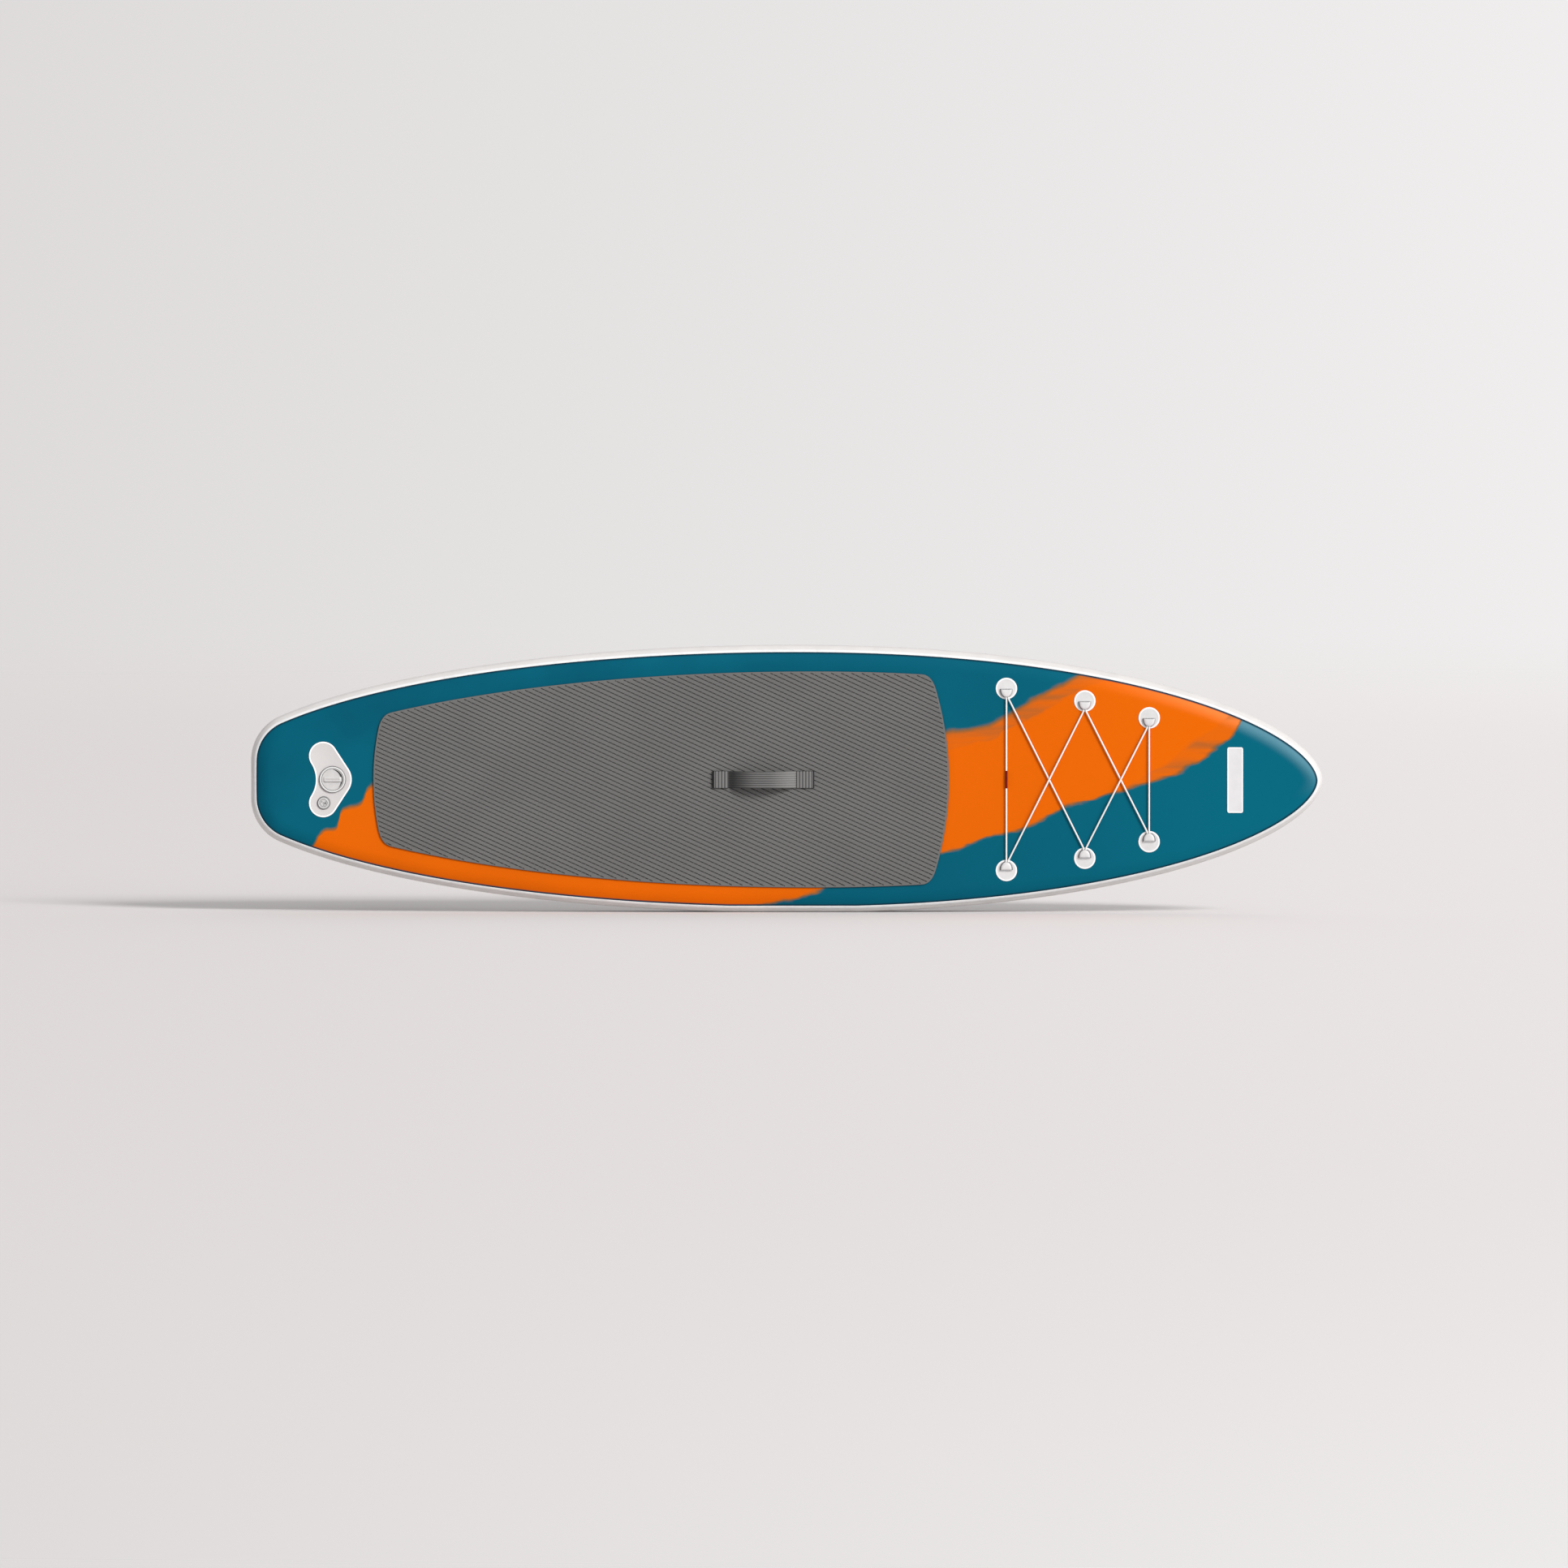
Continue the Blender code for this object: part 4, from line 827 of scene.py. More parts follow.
cap_plastic = moulded("cap_plastic", CAP_PALE, CAP_DULL, 60, cap_shade, CAP_SHADE)
piece("turn_cap", [cap_disc(), slab("grip", (VALVE[0] - 0.0005, 0), GRIP_ROWS)], cap_plastic,
      "valve_cap", body="cap", sharp=35)

# Relief valve. A small flanged barrel beside the air valve; a slotted guard is pressed into
# its mouth, and a poppet on a light spring lets air out when the board gets too hard.
RELIEF_BARREL = [(15.0, 5.8), (18.0, 5.8), (19.0, 4.8), (19.0, 2.1), (12.0, 2.1), (12.0, -16.0),
                 (6.2, -16.0), (6.2, -14.0), (10.0, -14.0), (10.0, 3.2), (14.3, 3.2), (14.3, 5.2)]
GUARD_RIM = [(9.5, 4.8), (10.2, 5.6), (10.8, 6.0), (12.6, 6.0), (13.6, 5.5), (14.0, 4.6),
             (14.0, 3.5)]
GUARD_HOLE = [(2.9, 3.5), (2.9, 4.6), (3.1, 4.8)]
VENT = [(1.3, 3.5), (1.3, 4.5), (1.6, 4.8)]
VENTS_AT = 0.0066
POPPET = [(0, 4.0), (1.2, 4.0), (1.2, 6.2), (2.0, 6.2), (2.4, 5.6), (2.4, -12.0), (9.2, -12.0),
          (9.2, -13.7), (0, -13.7)]

relief_barrel = turned("barrel", softened(RELIEF_BARREL, 0.45, closed=True), RELIEF, 96, over=True)
piece("relief_barrel", [relief_barrel], valve_plastic, "relief_body")
vents = [turned("vent", VENT, spot, 24)
         for spot in arc(RELIEF, VENTS_AT, math.radians(30), math.radians(270), 3)]
guard = filled("guard", [turned("rim", softened(GUARD_RIM, 0.3), RELIEF, 96),
                         turned("hole", GUARD_HOLE, RELIEF, 36), *vents],
               [-DECK - 0.0035, -DECK - 0.0048])
piece("relief_slotted_guard", [guard], valve_plastic, "relief_guard", sharp=35)
piece("relief_stem", [turned("poppet", softened(POPPET, 0.25), RELIEF, 48)], valve_plastic,
      "relief_poppet", body="relief_plunger")

# Springs, rings and nuts. Drawn steel wire wound in a coil, moulded rubber rings, and nuts
# moulded in the valve's own plastic; the two springs hold the two valves shut.
RUBBER = (0.028, 0.028, 0.028)
RUBBER_BLOOM = (0.053, 0.053, 0.053)
WIRE = 0.0005


def tube(name, path, radius, sides=16):
    """A round section carried along a path; its first direction is square to the deck's up.

    The radius may change along the path. The UV map is metres along and turns round."""
    way = np.gradient(path, axis=0)
    way /= np.linalg.norm(way, axis=1, keepdims=True)
    beside = np.cross(way, (0, -1, 0))
    beside /= np.linalg.norm(beside, axis=1, keepdims=True)
    over = np.cross(beside, way)
    angle = whole_turn(sides)[None, :, None]
    section = beside[:, None] * np.cos(angle) + over[:, None] * np.sin(angle)
    points = path[:, None] + np.broadcast_to(radius, len(path))[:, None, None] * section
    step = np.linalg.norm(np.diff(path, axis=0), axis=1)
    along = np.concatenate([[0], np.cumsum(step)])[:, None]
    uv = np.stack(np.broadcast_arrays(along, np.linspace(0, 1, sides + 1)), -1)
    return grid_mesh(name, points, uv, around=True, cap=True, base=True)


def coil(centre, radius, low, high, turns):
    """A line that rises evenly as it goes round the centre, sizes in mm."""
    angle = np.linspace(0, 2 * math.pi * turns, round(turns * 36))
    return on_deck(centre[0] + radius / 1000 * np.cos(angle),
                   centre[1] + radius / 1000 * np.sin(angle), np.linspace(low, high, len(angle)) / 1000)


def brushed(name, color, roughness, along):
    """Bare metal with fine drawing lines, stretched by along."""
    finish = Finish(name, color, roughness, metallic=1.0)
    lines = finish.place(scale=along).noise(1.0, 3.0, 0.6)
    dull = tuple(0.8 * part for part in color)
    finish.paint(lines.step(0.35, 0.70).between(color, dull),
                 lines.step(0.3, 0.7, roughness - 0.08, roughness + 0.12))
    finish.bump(lines, 0.00002)
    return finish


spring_wire = brushed("spring_wire", (0.60, 0.60, 0.60), 0.34, (60, 900, 60))
valve_coil = piece("valve_coil", [tube("coil", coil(VALVE, 5.3, -20.2, -10.6, 3.5), WIRE, 10)],
                   spring_wire, "valve_spring", sharp=35)
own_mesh(valve_coil)
relief_coil = piece("relief_coil", [tube("coil", coil(RELIEF, 5.0, -11.2, 2.8, 4), WIRE, 10)],
                    spring_wire, "relief_spring", sharp=35)
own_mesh(relief_coil)
seal_black = Finish("seal_black", RUBBER, 0.8, specular=0.3)
seal_at = seal_black.place()
bloom = seal_at.noise(160).step(0.35, 0.70)
seal_black.paint(bloom.between(RUBBER, RUBBER_BLOOM), bloom.step(0, 1, 0.70, 0.88))
seal_black.bump(seal_at.noise(1400, 2.0), 0.00004, 0.7)
dress(seal_black, "valve_gasket", "valve_disc_seal", "valve_cap_seal")
dress(spring_wire, "valve_washer")
dress(valve_plastic, "valve_nut", "relief_nut")

# Deck pad. A slab of grey foam glued on the deck, its edge buffed round; short grooves are
# pressed into it in slanting rows, so that wet feet keep their hold.
PAD_INSET = 0.074
PAD_TAPER = 0.0075
PAD_REAR = (-1.2345, -1.2095)
PAD_FRONT = (0.486, 0.433)
PAD_CORNER = 0.041
PAD_UNDER = 0.3
PAD_TOP = 5.3
GROOVE_ROWS = 0.0137
GROOVE_SLANT = math.radians(24.4)
GROOVE_STEP = 0.0134
GROOVE_HALF = 0.0062
GROOVE_WIDE = 0.0017
GROOVE_TAPER = 0.82
GROOVE_FLOOR = PAD_TOP - 1.4
CELLS_EACH_WAY = 76
CELLS_OUT = 0.016
CELL_CLEAR = 0.0012
CUT_CLEAR = 0.0018
CUT_PLACES = 28
PAD_ROUND = 2.2
FOAM = (0.162, 0.162, 0.159)
FOAM_WORN = (0.150, 0.150, 0.148)
FOAM_PORES_AND_SHADE = (0.050, 0.050, 0.049)


def pad_outline():
    """Closed edge of the pad: two sides beside the rail, and two bows with round corners.

    A bow is a parabola from its tip to its corners; a side lies inset square to the board's
    own edge, by an inset that grows evenly towards the tail."""
    x = np.linspace(PAD_REAR[1], PAD_FRONT[1], 60)
    slope = np.gradient(np.interp(x, half_x[::-1], half_v[::-1]), x)
    inset = PAD_INSET + PAD_TAPER * (PAD_FRONT[1] - x)
    side = np.interp(x, half_x[::-1], half_v[::-1]) - inset * np.hypot(1, slope)
    way = x[1] - x[0]
    cut = max(1, round(PAD_CORNER / way))
    line = []
    for (tip, corner), reach, inner in ((PAD_REAR, side[0], cut), (PAD_FRONT, side[-1], -1 - cut)):
        share = np.linspace(0, 1 - PAD_CORNER / reach, 24)
        bow = np.stack([tip + (corner - tip) * share ** 2, reach * share], -1)
        line.append(np.concatenate([bow, bend(bow[-1], (corner, reach), (x[inner], side[inner]),
                                              12)[1:-1]]))
    half = np.concatenate([line[1], np.stack([x, side], -1)[-1 - cut:cut - 1:-1], line[0][::-1]])
    return both_halves(*even_steps(half[:, 0], half[:, 1], 260))


def groove(along, across, middle, near, far):
    """Six points round a groove that runs from near to far along its row."""
    ends = np.stack([near, (near + far) / 2, far, far, (near + far) / 2, near], -1)
    sides = np.array([-0.7, -1, -0.7, 0.7, 1, 0.7]) * GROOVE_WIDE
    return middle[:, None] + ends[..., None] * along + sides[:, None] * across


def loops_mesh(name, rings, heights, joined):
    """Mesh of many six-sided rings: joined says which pairs of levels have faces between."""
    count = len(rings[0])
    points = [on_deck(ring[..., 0], ring[..., 1], height / 1000)
              for ring, height in zip(rings, heights)]
    base = np.arange(count)[:, None] * 6
    turn = np.roll(np.arange(6), -1)
    faces = []
    for a, b in joined:
        low = base + a * count * 6
        high = base + b * count * 6
        quad = np.stack([low + np.arange(6), low + turn, high + turn, high + np.arange(6)], -1)
        faces += quad.reshape(-1, 4).tolist()
    faces += (base + (len(rings) - 1) * count * 6 + np.arange(6)).tolist()
    mesh = bpy.data.meshes.new(name)
    mesh.from_pydata(np.concatenate(points).reshape(-1, 3).tolist(), [], faces)
    return mesh


def grooved_pad():
    """The pad's meshes: whole cells of one groove each, cut grooves by the edge, and a rim.

    Cells lie brick-wise in slanting rows, whole ones and cut grooves clear of the rim's inner
    line; the flat between them and the rim is filled."""
    x, v = pad_outline()
    side_x, side_v = outward(x, v)
    normal = np.stack([side_x, side_v], -1)
    line = np.stack([x, v], -1) - PAD_ROUND / 1000 * normal
    along = np.array([math.cos(GROOVE_SLANT), -math.sin(GROOVE_SLANT)])
    across = np.array([math.sin(GROOVE_SLANT), math.cos(GROOVE_SLANT)])
    middle = np.array([(PAD_REAR[0] + PAD_FRONT[0]) / 2, 0])
    number = np.arange(-CELLS_EACH_WAY, CELLS_EACH_WAY + 1)
    column, row = np.meshgrid(number, number, indexing="ij")
    at = (column + 0.5 * (row % 2))[..., None] * GROOVE_STEP * along
    at = (middle + at + row[..., None] * (0, GROOVE_ROWS)).reshape(-1, 2)

    def past(points):
        """How far points lie outwards of the rim's inner line, by its nearest point."""
        gap = points[:, None] - line
        near = np.argmin((gap ** 2).sum(-1), -1)
        return ((points - line[near]) * normal[near]).sum(-1)

    at = at[past(at) < CELLS_OUT]
    corner = np.array([[-0.5, -0.5], [0, -0.5], [0.5, -0.5], [0.5, 0.5], [0, 0.5], [-0.5, 0.5]])
    cell = at[:, None] + corner[:, :1] * GROOVE_STEP * along + corner[:, 1:] * (0, GROOVE_ROWS)
    whole = past(cell.reshape(-1, 2)).reshape(-1, 6).max(1) < -CELL_CLEAR
    half = np.full(whole.sum(), GROOVE_HALF)
    ring = groove(along, across, at[whole], -half, half)
    low = at[whole][:, None] + GROOVE_TAPER * (ring - at[whole][:, None])
    cells = loops_mesh("cells", [cell[whole], ring, low], [PAD_TOP, PAD_TOP, GROOVE_FLOOR],
                       [(0, 1), (1, 2)])
    spot = np.linspace(-GROOVE_HALF, GROOVE_HALF, CUT_PLACES)
    cut = at[~whole]
    depth = past((cut[:, None] + spot[:, None] * along).reshape(-1, 2)).reshape(-1, len(spot))
    clear = depth < -CUT_CLEAR
    cut = cut[clear.sum(1) > 5]
    clear = clear[clear.sum(1) > 5]
    near = spot[clear.argmax(1)]
    far = spot[len(spot) - 1 - clear[:, ::-1].argmax(1)]
    ring = groove(along, across, cut, near, far)
    centre = ring.mean(1, keepdims=True)
    cuts = loops_mesh("cuts", [ring, centre + GROOVE_TAPER * (ring - centre)],
                      [PAD_TOP, GROOVE_FLOOR], [(0, 1)])
    rim = formed(x, v, [(PAD_ROUND, PAD_TOP), (1.3, 5.2), (0.45, 4.7), (0, 3.8), (0, 0.9),
                        (0.6, PAD_UNDER)])
    body = grid_mesh("rim", rim, around=True, cap=True)
    return filled("pad", (cells, cuts, body), [-DECK - PAD_TOP / 1000])


deck_foam = Finish("deck_foam", FOAM, 0.95, specular=0.15)
foam_at = deck_foam.place()
foam_cells = foam_at.noise(620, 2.0)
# dark pores at random in the foam's face
foam_face = (foam_cells * 0.30).between(foam_at.mottled(5, FOAM, FOAM_WORN), FOAM_PORES_AND_SHADE)
# painted shade: the groove floors and the pad's rounded edge, below its top face, are painted dark
above_floor = height_mm(foam_at).step(GROOVE_FLOOR + 0.1, PAD_TOP - 0.05)
deck_foam.paint(above_floor.between(FOAM_PORES_AND_SHADE, foam_face))
deck_foam.bump(foam_cells, 0.00012, 0.7)
deck_pad = piece("foam_pad", [grooved_pad()], deck_foam, "deck_pad", sharp=30)

# Carry handle. One length of ribbed webbing that stands up in a loop over the pad's middle;
# each end lies flat under a stiff ribbed end piece, glued and sewn down.
HANDLE_MIDDLE = -0.0715
STRAP_HALF = 0.025
STRAP_THICK = 2.8
STRAP_RIBS = 7
LOOP = np.array([(-0.1445, 0), (-0.1000, 0), (-0.0930, 0.0038), (-0.0800, 0.0140),
                 (-0.0600, 0.0242), (-0.0340, 0.0325), (0, 0.0360), (0.0340, 0.0325),
                 (0.0600, 0.0242), (0.0800, 0.0140), (0.0930, 0.0038), (0.1000, 0), (0.1490, 0)])
END_PIECES = (("rear", -0.222, -0.1735), ("front", 0.0305, 0.083))
END_THICK = 2.2
END_RIB = 0.0093
END_RIB_HIGH = 0.35
END_MIDDLE = -0.068
UNDER_GAP = 0.3
WEB_GREY = (0.135, 0.135, 0.135)
WEB_HOLLOW_SHADE = (0.055, 0.055, 0.055)
WEB_CREST_HIGHLIGHT = (0.175, 0.175, 0.173)
WEB_REAR_SHADE = (0.020, 0.020, 0.020)
WEB_FRONT_HIGHLIGHT = (0.40, 0.40, 0.385)
WEB_THREAD = (0.070, 0.070, 0.070)
THREAD = 0.0016
END_HOLLOW_SHADE = (0.075, 0.075, 0.075)
END_CREST_HIGHLIGHT = (0.185, 0.185, 0.183)
END_BOUND = (0.006, 0.006, 0.006)
END_EDGE_SHADE = (0.012, 0.012, 0.012)


def through(x, y, steps):
    """A smooth line through the points: a cubic on each span, its slopes from the neighbours."""
    rise = np.append(y[1:], y[-1]) - np.append(y[0], y[:-1])
    slope = rise / (np.append(x[1:], x[-1]) - np.append(x[0], x[:-1]))
    share = np.linspace(0, 1, steps, endpoint=False)[:, None]
    span = np.diff(x)
    line_x = x[:-1] + share * span
    line_y = ((2 * share ** 3 - 3 * share ** 2 + 1) * y[:-1] + (3 * share ** 2 - 2 * share ** 3)
              * y[1:] + (share ** 3 - 2 * share ** 2 + share) * span * slope[:-1]
              + (share ** 3 - share ** 2) * span * slope[1:])
    return np.append(line_x.T.ravel(), x[-1]), np.append(line_y.T.ravel(), y[-1])


def webbing(name, x, h, half, thick, lengthwise=0.0, crosswise=0.0):
    """A flat section with round edges, carried along a line x, h seen from the side.

    Ribs along it are a cosine across the width; crosswise is a height added on top at each
    place along it. Thickness and heights are in mm, half the width in metres, and the UV map
    is metres along and across."""
    radius = thick / 2000
    flat = np.linspace(1, -1, 8 * STRAP_RIBS + 1)
    edge = np.linspace(0, math.pi, 7)[1:-1]
    wide = half - radius
    across = np.concatenate([wide * flat, -wide - radius * np.sin(edge), -wide * flat,
                             wide + radius * np.sin(edge)])
    up = np.concatenate([np.ones_like(flat), np.cos(edge), -np.ones_like(flat), -np.cos(edge)])
    rib = lengthwise * np.cos(math.pi * STRAP_RIBS * flat)
    none = np.zeros_like(edge)
    out = up * thick / 2 + np.concatenate([rib, none, -rib, none])
    out = (out + np.clip(up, 0, 1) * np.broadcast_to(crosswise, x.shape)[:, None]) / 1000
    way_x = np.gradient(x)
    way_h = np.gradient(h)
    size = np.hypot(way_x, way_h)
    points = on_deck(x[:, None] - (way_h / size)[:, None] * out, across[None],
                     h[:, None] + (way_x / size)[:, None] * out)
    along = np.concatenate([[0], np.cumsum(np.hypot(np.diff(x), np.diff(h)))])
    ring = np.append(across, across[0])
    uv = np.stack(np.broadcast_arrays(along[:, None], ring[None]), -1)
    return grid_mesh(name, points, uv, around=True, cap=True, base=True)


strap_web = Finish("strap_web", WEB_GREY, 0.85, specular=0.25)
web_at = strap_web.place()
rib_turns = (web_at.part("Z") - SIDE) * (STRAP_RIBS / 2 / (STRAP_HALF - STRAP_THICK / 2000))
# painted shade in the rib hollows and painted highlight on the crests
web_color = rib_turns.wave(0.25).step(-0.9, 0.4).between(WEB_HOLLOW_SHADE, WEB_CREST_HIGHLIGHT)
# painted shade on the loop's rear flank, and a painted highlight towards its front, as the light falls
# from the nose's side
web_color = web_at.part("X").step(-0.165, -0.085, 0.85, 0).between(web_color, WEB_REAR_SHADE)
web_color = web_at.part("X").step(-0.06, 0.02, 0, 0.30).between(web_color, WEB_FRONT_HIGHLIGHT)
threads = strap_web.place(scale=(90, 900, 900)).noise(1.0, 2.0)
strap_web.paint((threads * 0.4).between(web_color, WEB_THREAD))
weave_at = strap_web.place("UV", scale=(1 / THREAD, 1 / THREAD, 1))
strap_web.bump(weave_at.part("X").wave() * weave_at.part("Y").wave(), 0.00012, 0.8)
loop_x, loop_h = through(LOOP[:, 0], LOOP[:, 1], 24)
loop_x, loop_h = even_steps(loop_x, np.maximum(loop_h, 0), 190)
strap_lies = (PAD_TOP + UNDER_GAP + STRAP_THICK / 2) / 1000
strap = webbing("carry_strap", HANDLE_MIDDLE + loop_x, strap_lies + loop_h, STRAP_HALF,
                STRAP_THICK, lengthwise=0.28)
piece("carry_strap", [strap], strap_web, "handle_strap", sharp=50)

end_web = Finish("end_web", (0.13, 0.13, 0.13), 0.80, specular=0.25)
end_at = end_web.place()
from_middle = (end_at.part("X") - END_MIDDLE).size()
# painted shade in the rib hollows and painted highlight on the crests
end_color = (from_middle * (1 / END_RIB)).wave(0.25).step(-0.6, 0.6).between(END_HOLLOW_SHADE, END_CREST_HIGHLIGHT)
end_color = from_middle.step(0.1474, 0.1480).between(end_color, END_BOUND)
# painted shadow along the end piece's two long edges
edge_shade = (end_at.part("Z") - SIDE).size().step(0.0244, 0.0250)
end_web.paint(edge_shade.between(end_color, END_EDGE_SHADE))
end_web.bump(end_web.place(scale=(900, 900, 300)).noise(1.0, 2.0), 0.0001, 0.8)
for name, low, high in END_PIECES:
    x = np.linspace(low, high, 130)
    inward = np.minimum(x - low, high - x)
    ribs = END_RIB_HIGH * np.cos(math.tau * np.abs(x - END_MIDDLE) / END_RIB)
    round_end = END_THICK * (1 - np.sqrt(1 - np.clip(1 - inward / 0.0012, 0, 1) ** 2))
    end_lies = strap_lies + (STRAP_THICK / 2 + UNDER_GAP + END_THICK / 2 + 0.25) / 1000
    end = webbing(f"handle_end_piece_{name}", x, np.full_like(x, end_lies), 0.026, END_THICK,
                  crosswise=ribs * (inward > 0.001) - 0.85 * round_end)
    piece(f"handle_end_piece_{name}", [end], end_web, f"handle_end_{name}")

# Lacing patches and hoods. Six round patches of thick sheet are welded on the deck; on each
# sits a moulded hood, flat-sided outwards and open towards the middle, with a peg inside.
LACE_AT = ((0.657, 0.272), (0.891, 0.235), (1.083, 0.185))
PATCH_EDGE = [(0, 0.6), (32.0, 0.6), (32.0, 1.1), (31.7, 1.7), (31.0, 2.05), (30.0, 2.25),
              (29.0, 2.25), (28.0, 2.1), (20, 2.1), (12, 2.1), (5, 2.1), (0, 2.1)]
HOOD_SEAT = 2.4
HOOD_WIDE = 19.5
HOOD_LONG = 28.0
HOOD_HIGH = 9.6
HOOD_WALL = 1.4
HOOD_MIDDLE = 0.42
MOUTH_HALF = 0.56
MOUTH_HIGH = 7.4
PEG_IN = 13.5
PEG = 2.0
PATCH_PALE = (0.66, 0.655, 0.66)
PATCH_DULL = (0.62, 0.615, 0.62)
PATCH_RIM_HIGHLIGHT = (0.87, 0.875, 0.88)
HOOD_SHADE = (0.07, 0.07, 0.075)

patch_sheet = Finish("patch_sheet", PATCH_PALE, 0.42)
patch_tone = patch_sheet.place().mottled(40, PATCH_PALE, PATCH_DULL)
# painted highlight on the patch's raised rim bead
patch_rim_highlight = patch_sheet.place("UV").part("X").step(0.0265, 0.0285)
patch_sheet.paint(patch_rim_highlight.between(patch_tone, PATCH_RIM_HIGHLIGHT))
coated_cloth(patch_sheet, 0.00005, 0.0002)


def hood_shade(finish):
    """The share of painted shade that the hood's UV map gives."""
    return finish.place("UV").part("X")


hood_plastic = moulded("hood_plastic", PATCH_PALE, PATCH_DULL, 70, hood_shade, HOOD_SHADE)


def hood_reach(angle, less):
    """How far the hood's edge lies from its middle: an egg-like curve cut by a line, eased.

    It is found by halving, where (curve measure)^6 + (share of the way to the line)^12 = 1."""
    wide, long = HOOD_WIDE - less, HOOD_LONG - less
    to_line = HOOD_LONG * HOOD_MIDDLE - less
    low = np.zeros_like(angle)
    high = low + 60.0
    for _ in range(30):
        mid = (low + high) / 2
        a = mid * np.cos(angle)
        b = mid * np.sin(angle)
        curve = (a / wide) ** 2 + np.abs((b - HOOD_LONG * HOOD_MIDDLE) / long) ** 2.35
        line = np.clip(b / to_line, 0, None)
        inside = curve ** 6 + line ** 12 < 1
        low = np.where(inside, mid, low)
        high = np.where(inside, high, mid)
    return low


def hood(x, v, side):
    """Rows from the inner crown to the rim and back over the outside to the crown.

    A share t of the way in, the height is H times the root of 1 - (1 - t)^4. At the mouth the rim is an
    arch: half an ellipse in height against the angle from the mouth's middle. The UV map's first part
    is painted shade: round the foot, darker on the tail's side of the upper hoods, and in the grooves
    of the flat side, mostly on the upper hoods."""
    angle = whole_turn(144)
    from_mouth = np.abs(angle - 1.5 * math.pi)
    arch = MOUTH_HIGH * np.sqrt(np.clip(1 - (from_mouth / MOUTH_HALF) ** 2, 0, None))
    step = np.linspace(0, 1, 16)[:, None] ** 1.4
    rows_a, rows_b, rows_h, rows_shade = [], [], [], []
    for less, share in ((HOOD_WALL, step[::-1]), (0.0, step)):
        high = HOOD_HIGH - less
        rise = np.minimum(arch / high, 0.97)
        start = 1 - (1 - rise ** 2) ** (1 / 4)
        t = start + (1 - start) * share
        reach = hood_reach(angle, less) * (1 - t)
        ridge = np.cos(2 * math.pi * reach * np.cos(angle) / 3.4)
        flat_side = eased(np.sin(angle), 0.40, 0.62) * eased(t, 0.02, 0.08) * (1 - eased(t, 0.22, 0.38))
        rows_a.append(reach * np.cos(angle))
        rows_b.append(reach * np.sin(angle) - HOOD_LONG * HOOD_MIDDLE)
        rows_h.append(high * np.sqrt(1 - (1 - t) ** 4) + 0.3 * ridge * flat_side * (less == 0))
        # painted shade round the hood's foot and in the grooves of its flat side
        foot = (1 - eased(t, 0.10, 0.26)) * (np.sin(angle) < 0.5)
        foot *= 0.88 - 0.10 * (1 + side) * (1 + np.cos(angle))
        hatch = (0.25 + 0.20 * side) * (1 + eased(-ridge, -0.4, 0.4)) * flat_side
        rows_shade.append(np.maximum(hatch, foot))
    a, b, h = (np.concatenate(rows) / 1000 for rows in (rows_a, rows_b, rows_h))
    uv = np.stack([np.concatenate(rows_shade), h], -1)
    uv = np.concatenate([uv, uv[:, :1]], 1)
    return grid_mesh("hood", on_deck(x + side * a, v + side * b, HOOD_SEAT / 1000 + h), uv,
                     around=True)


number = 0
for side in (1, -1):
    for x, v in LACE_AT:
        number += 1
        at = (x, side * v)
        piece(f"lacing_patch_{number}", [turned("patch", PATCH_EDGE, at)], patch_sheet,
              f"cord_patch_{number}")
        peg = turned("peg", [(0, 2.4), (PEG, 2.4), (PEG, 10.6), (0, 10.6)],
                     (x, side * (v - PEG_IN / 1000)), 28)
        piece(f"lacing_hood_{number}", [hood(*at, side), peg], hood_plastic,
              f"cord_guide_{number}")

# Lacing cord. One length of white elastic cord with a braided cover, led round the six pegs;
# its two ends are pushed into a dark red sleeve and held there.
CORD = 0.0025
CORD_UP = 0.0055
CORD_ROUND = (PEG + 0.3) / 1000 + CORD
CROSS_LIFT = 0.0057
MOUTH_IN = 0.0285
STRAND = 0.00275
MOUTH_EASE = 0.006
SLEEVE = 0.0525
SLEEVE_ROUND = 0.0032
BRAID = 0.0048
BRAID_TURNS = 6
CORD_WHITE = (0.82, 0.82, 0.81)
CORD_HOLLOW_SHADE = (0.62, 0.62, 0.62)
SLEEVE_RED = (0.15, 0.001, 0.0006)
SLEEVE_DEEP = (0.10, 0.0008, 0.0005)


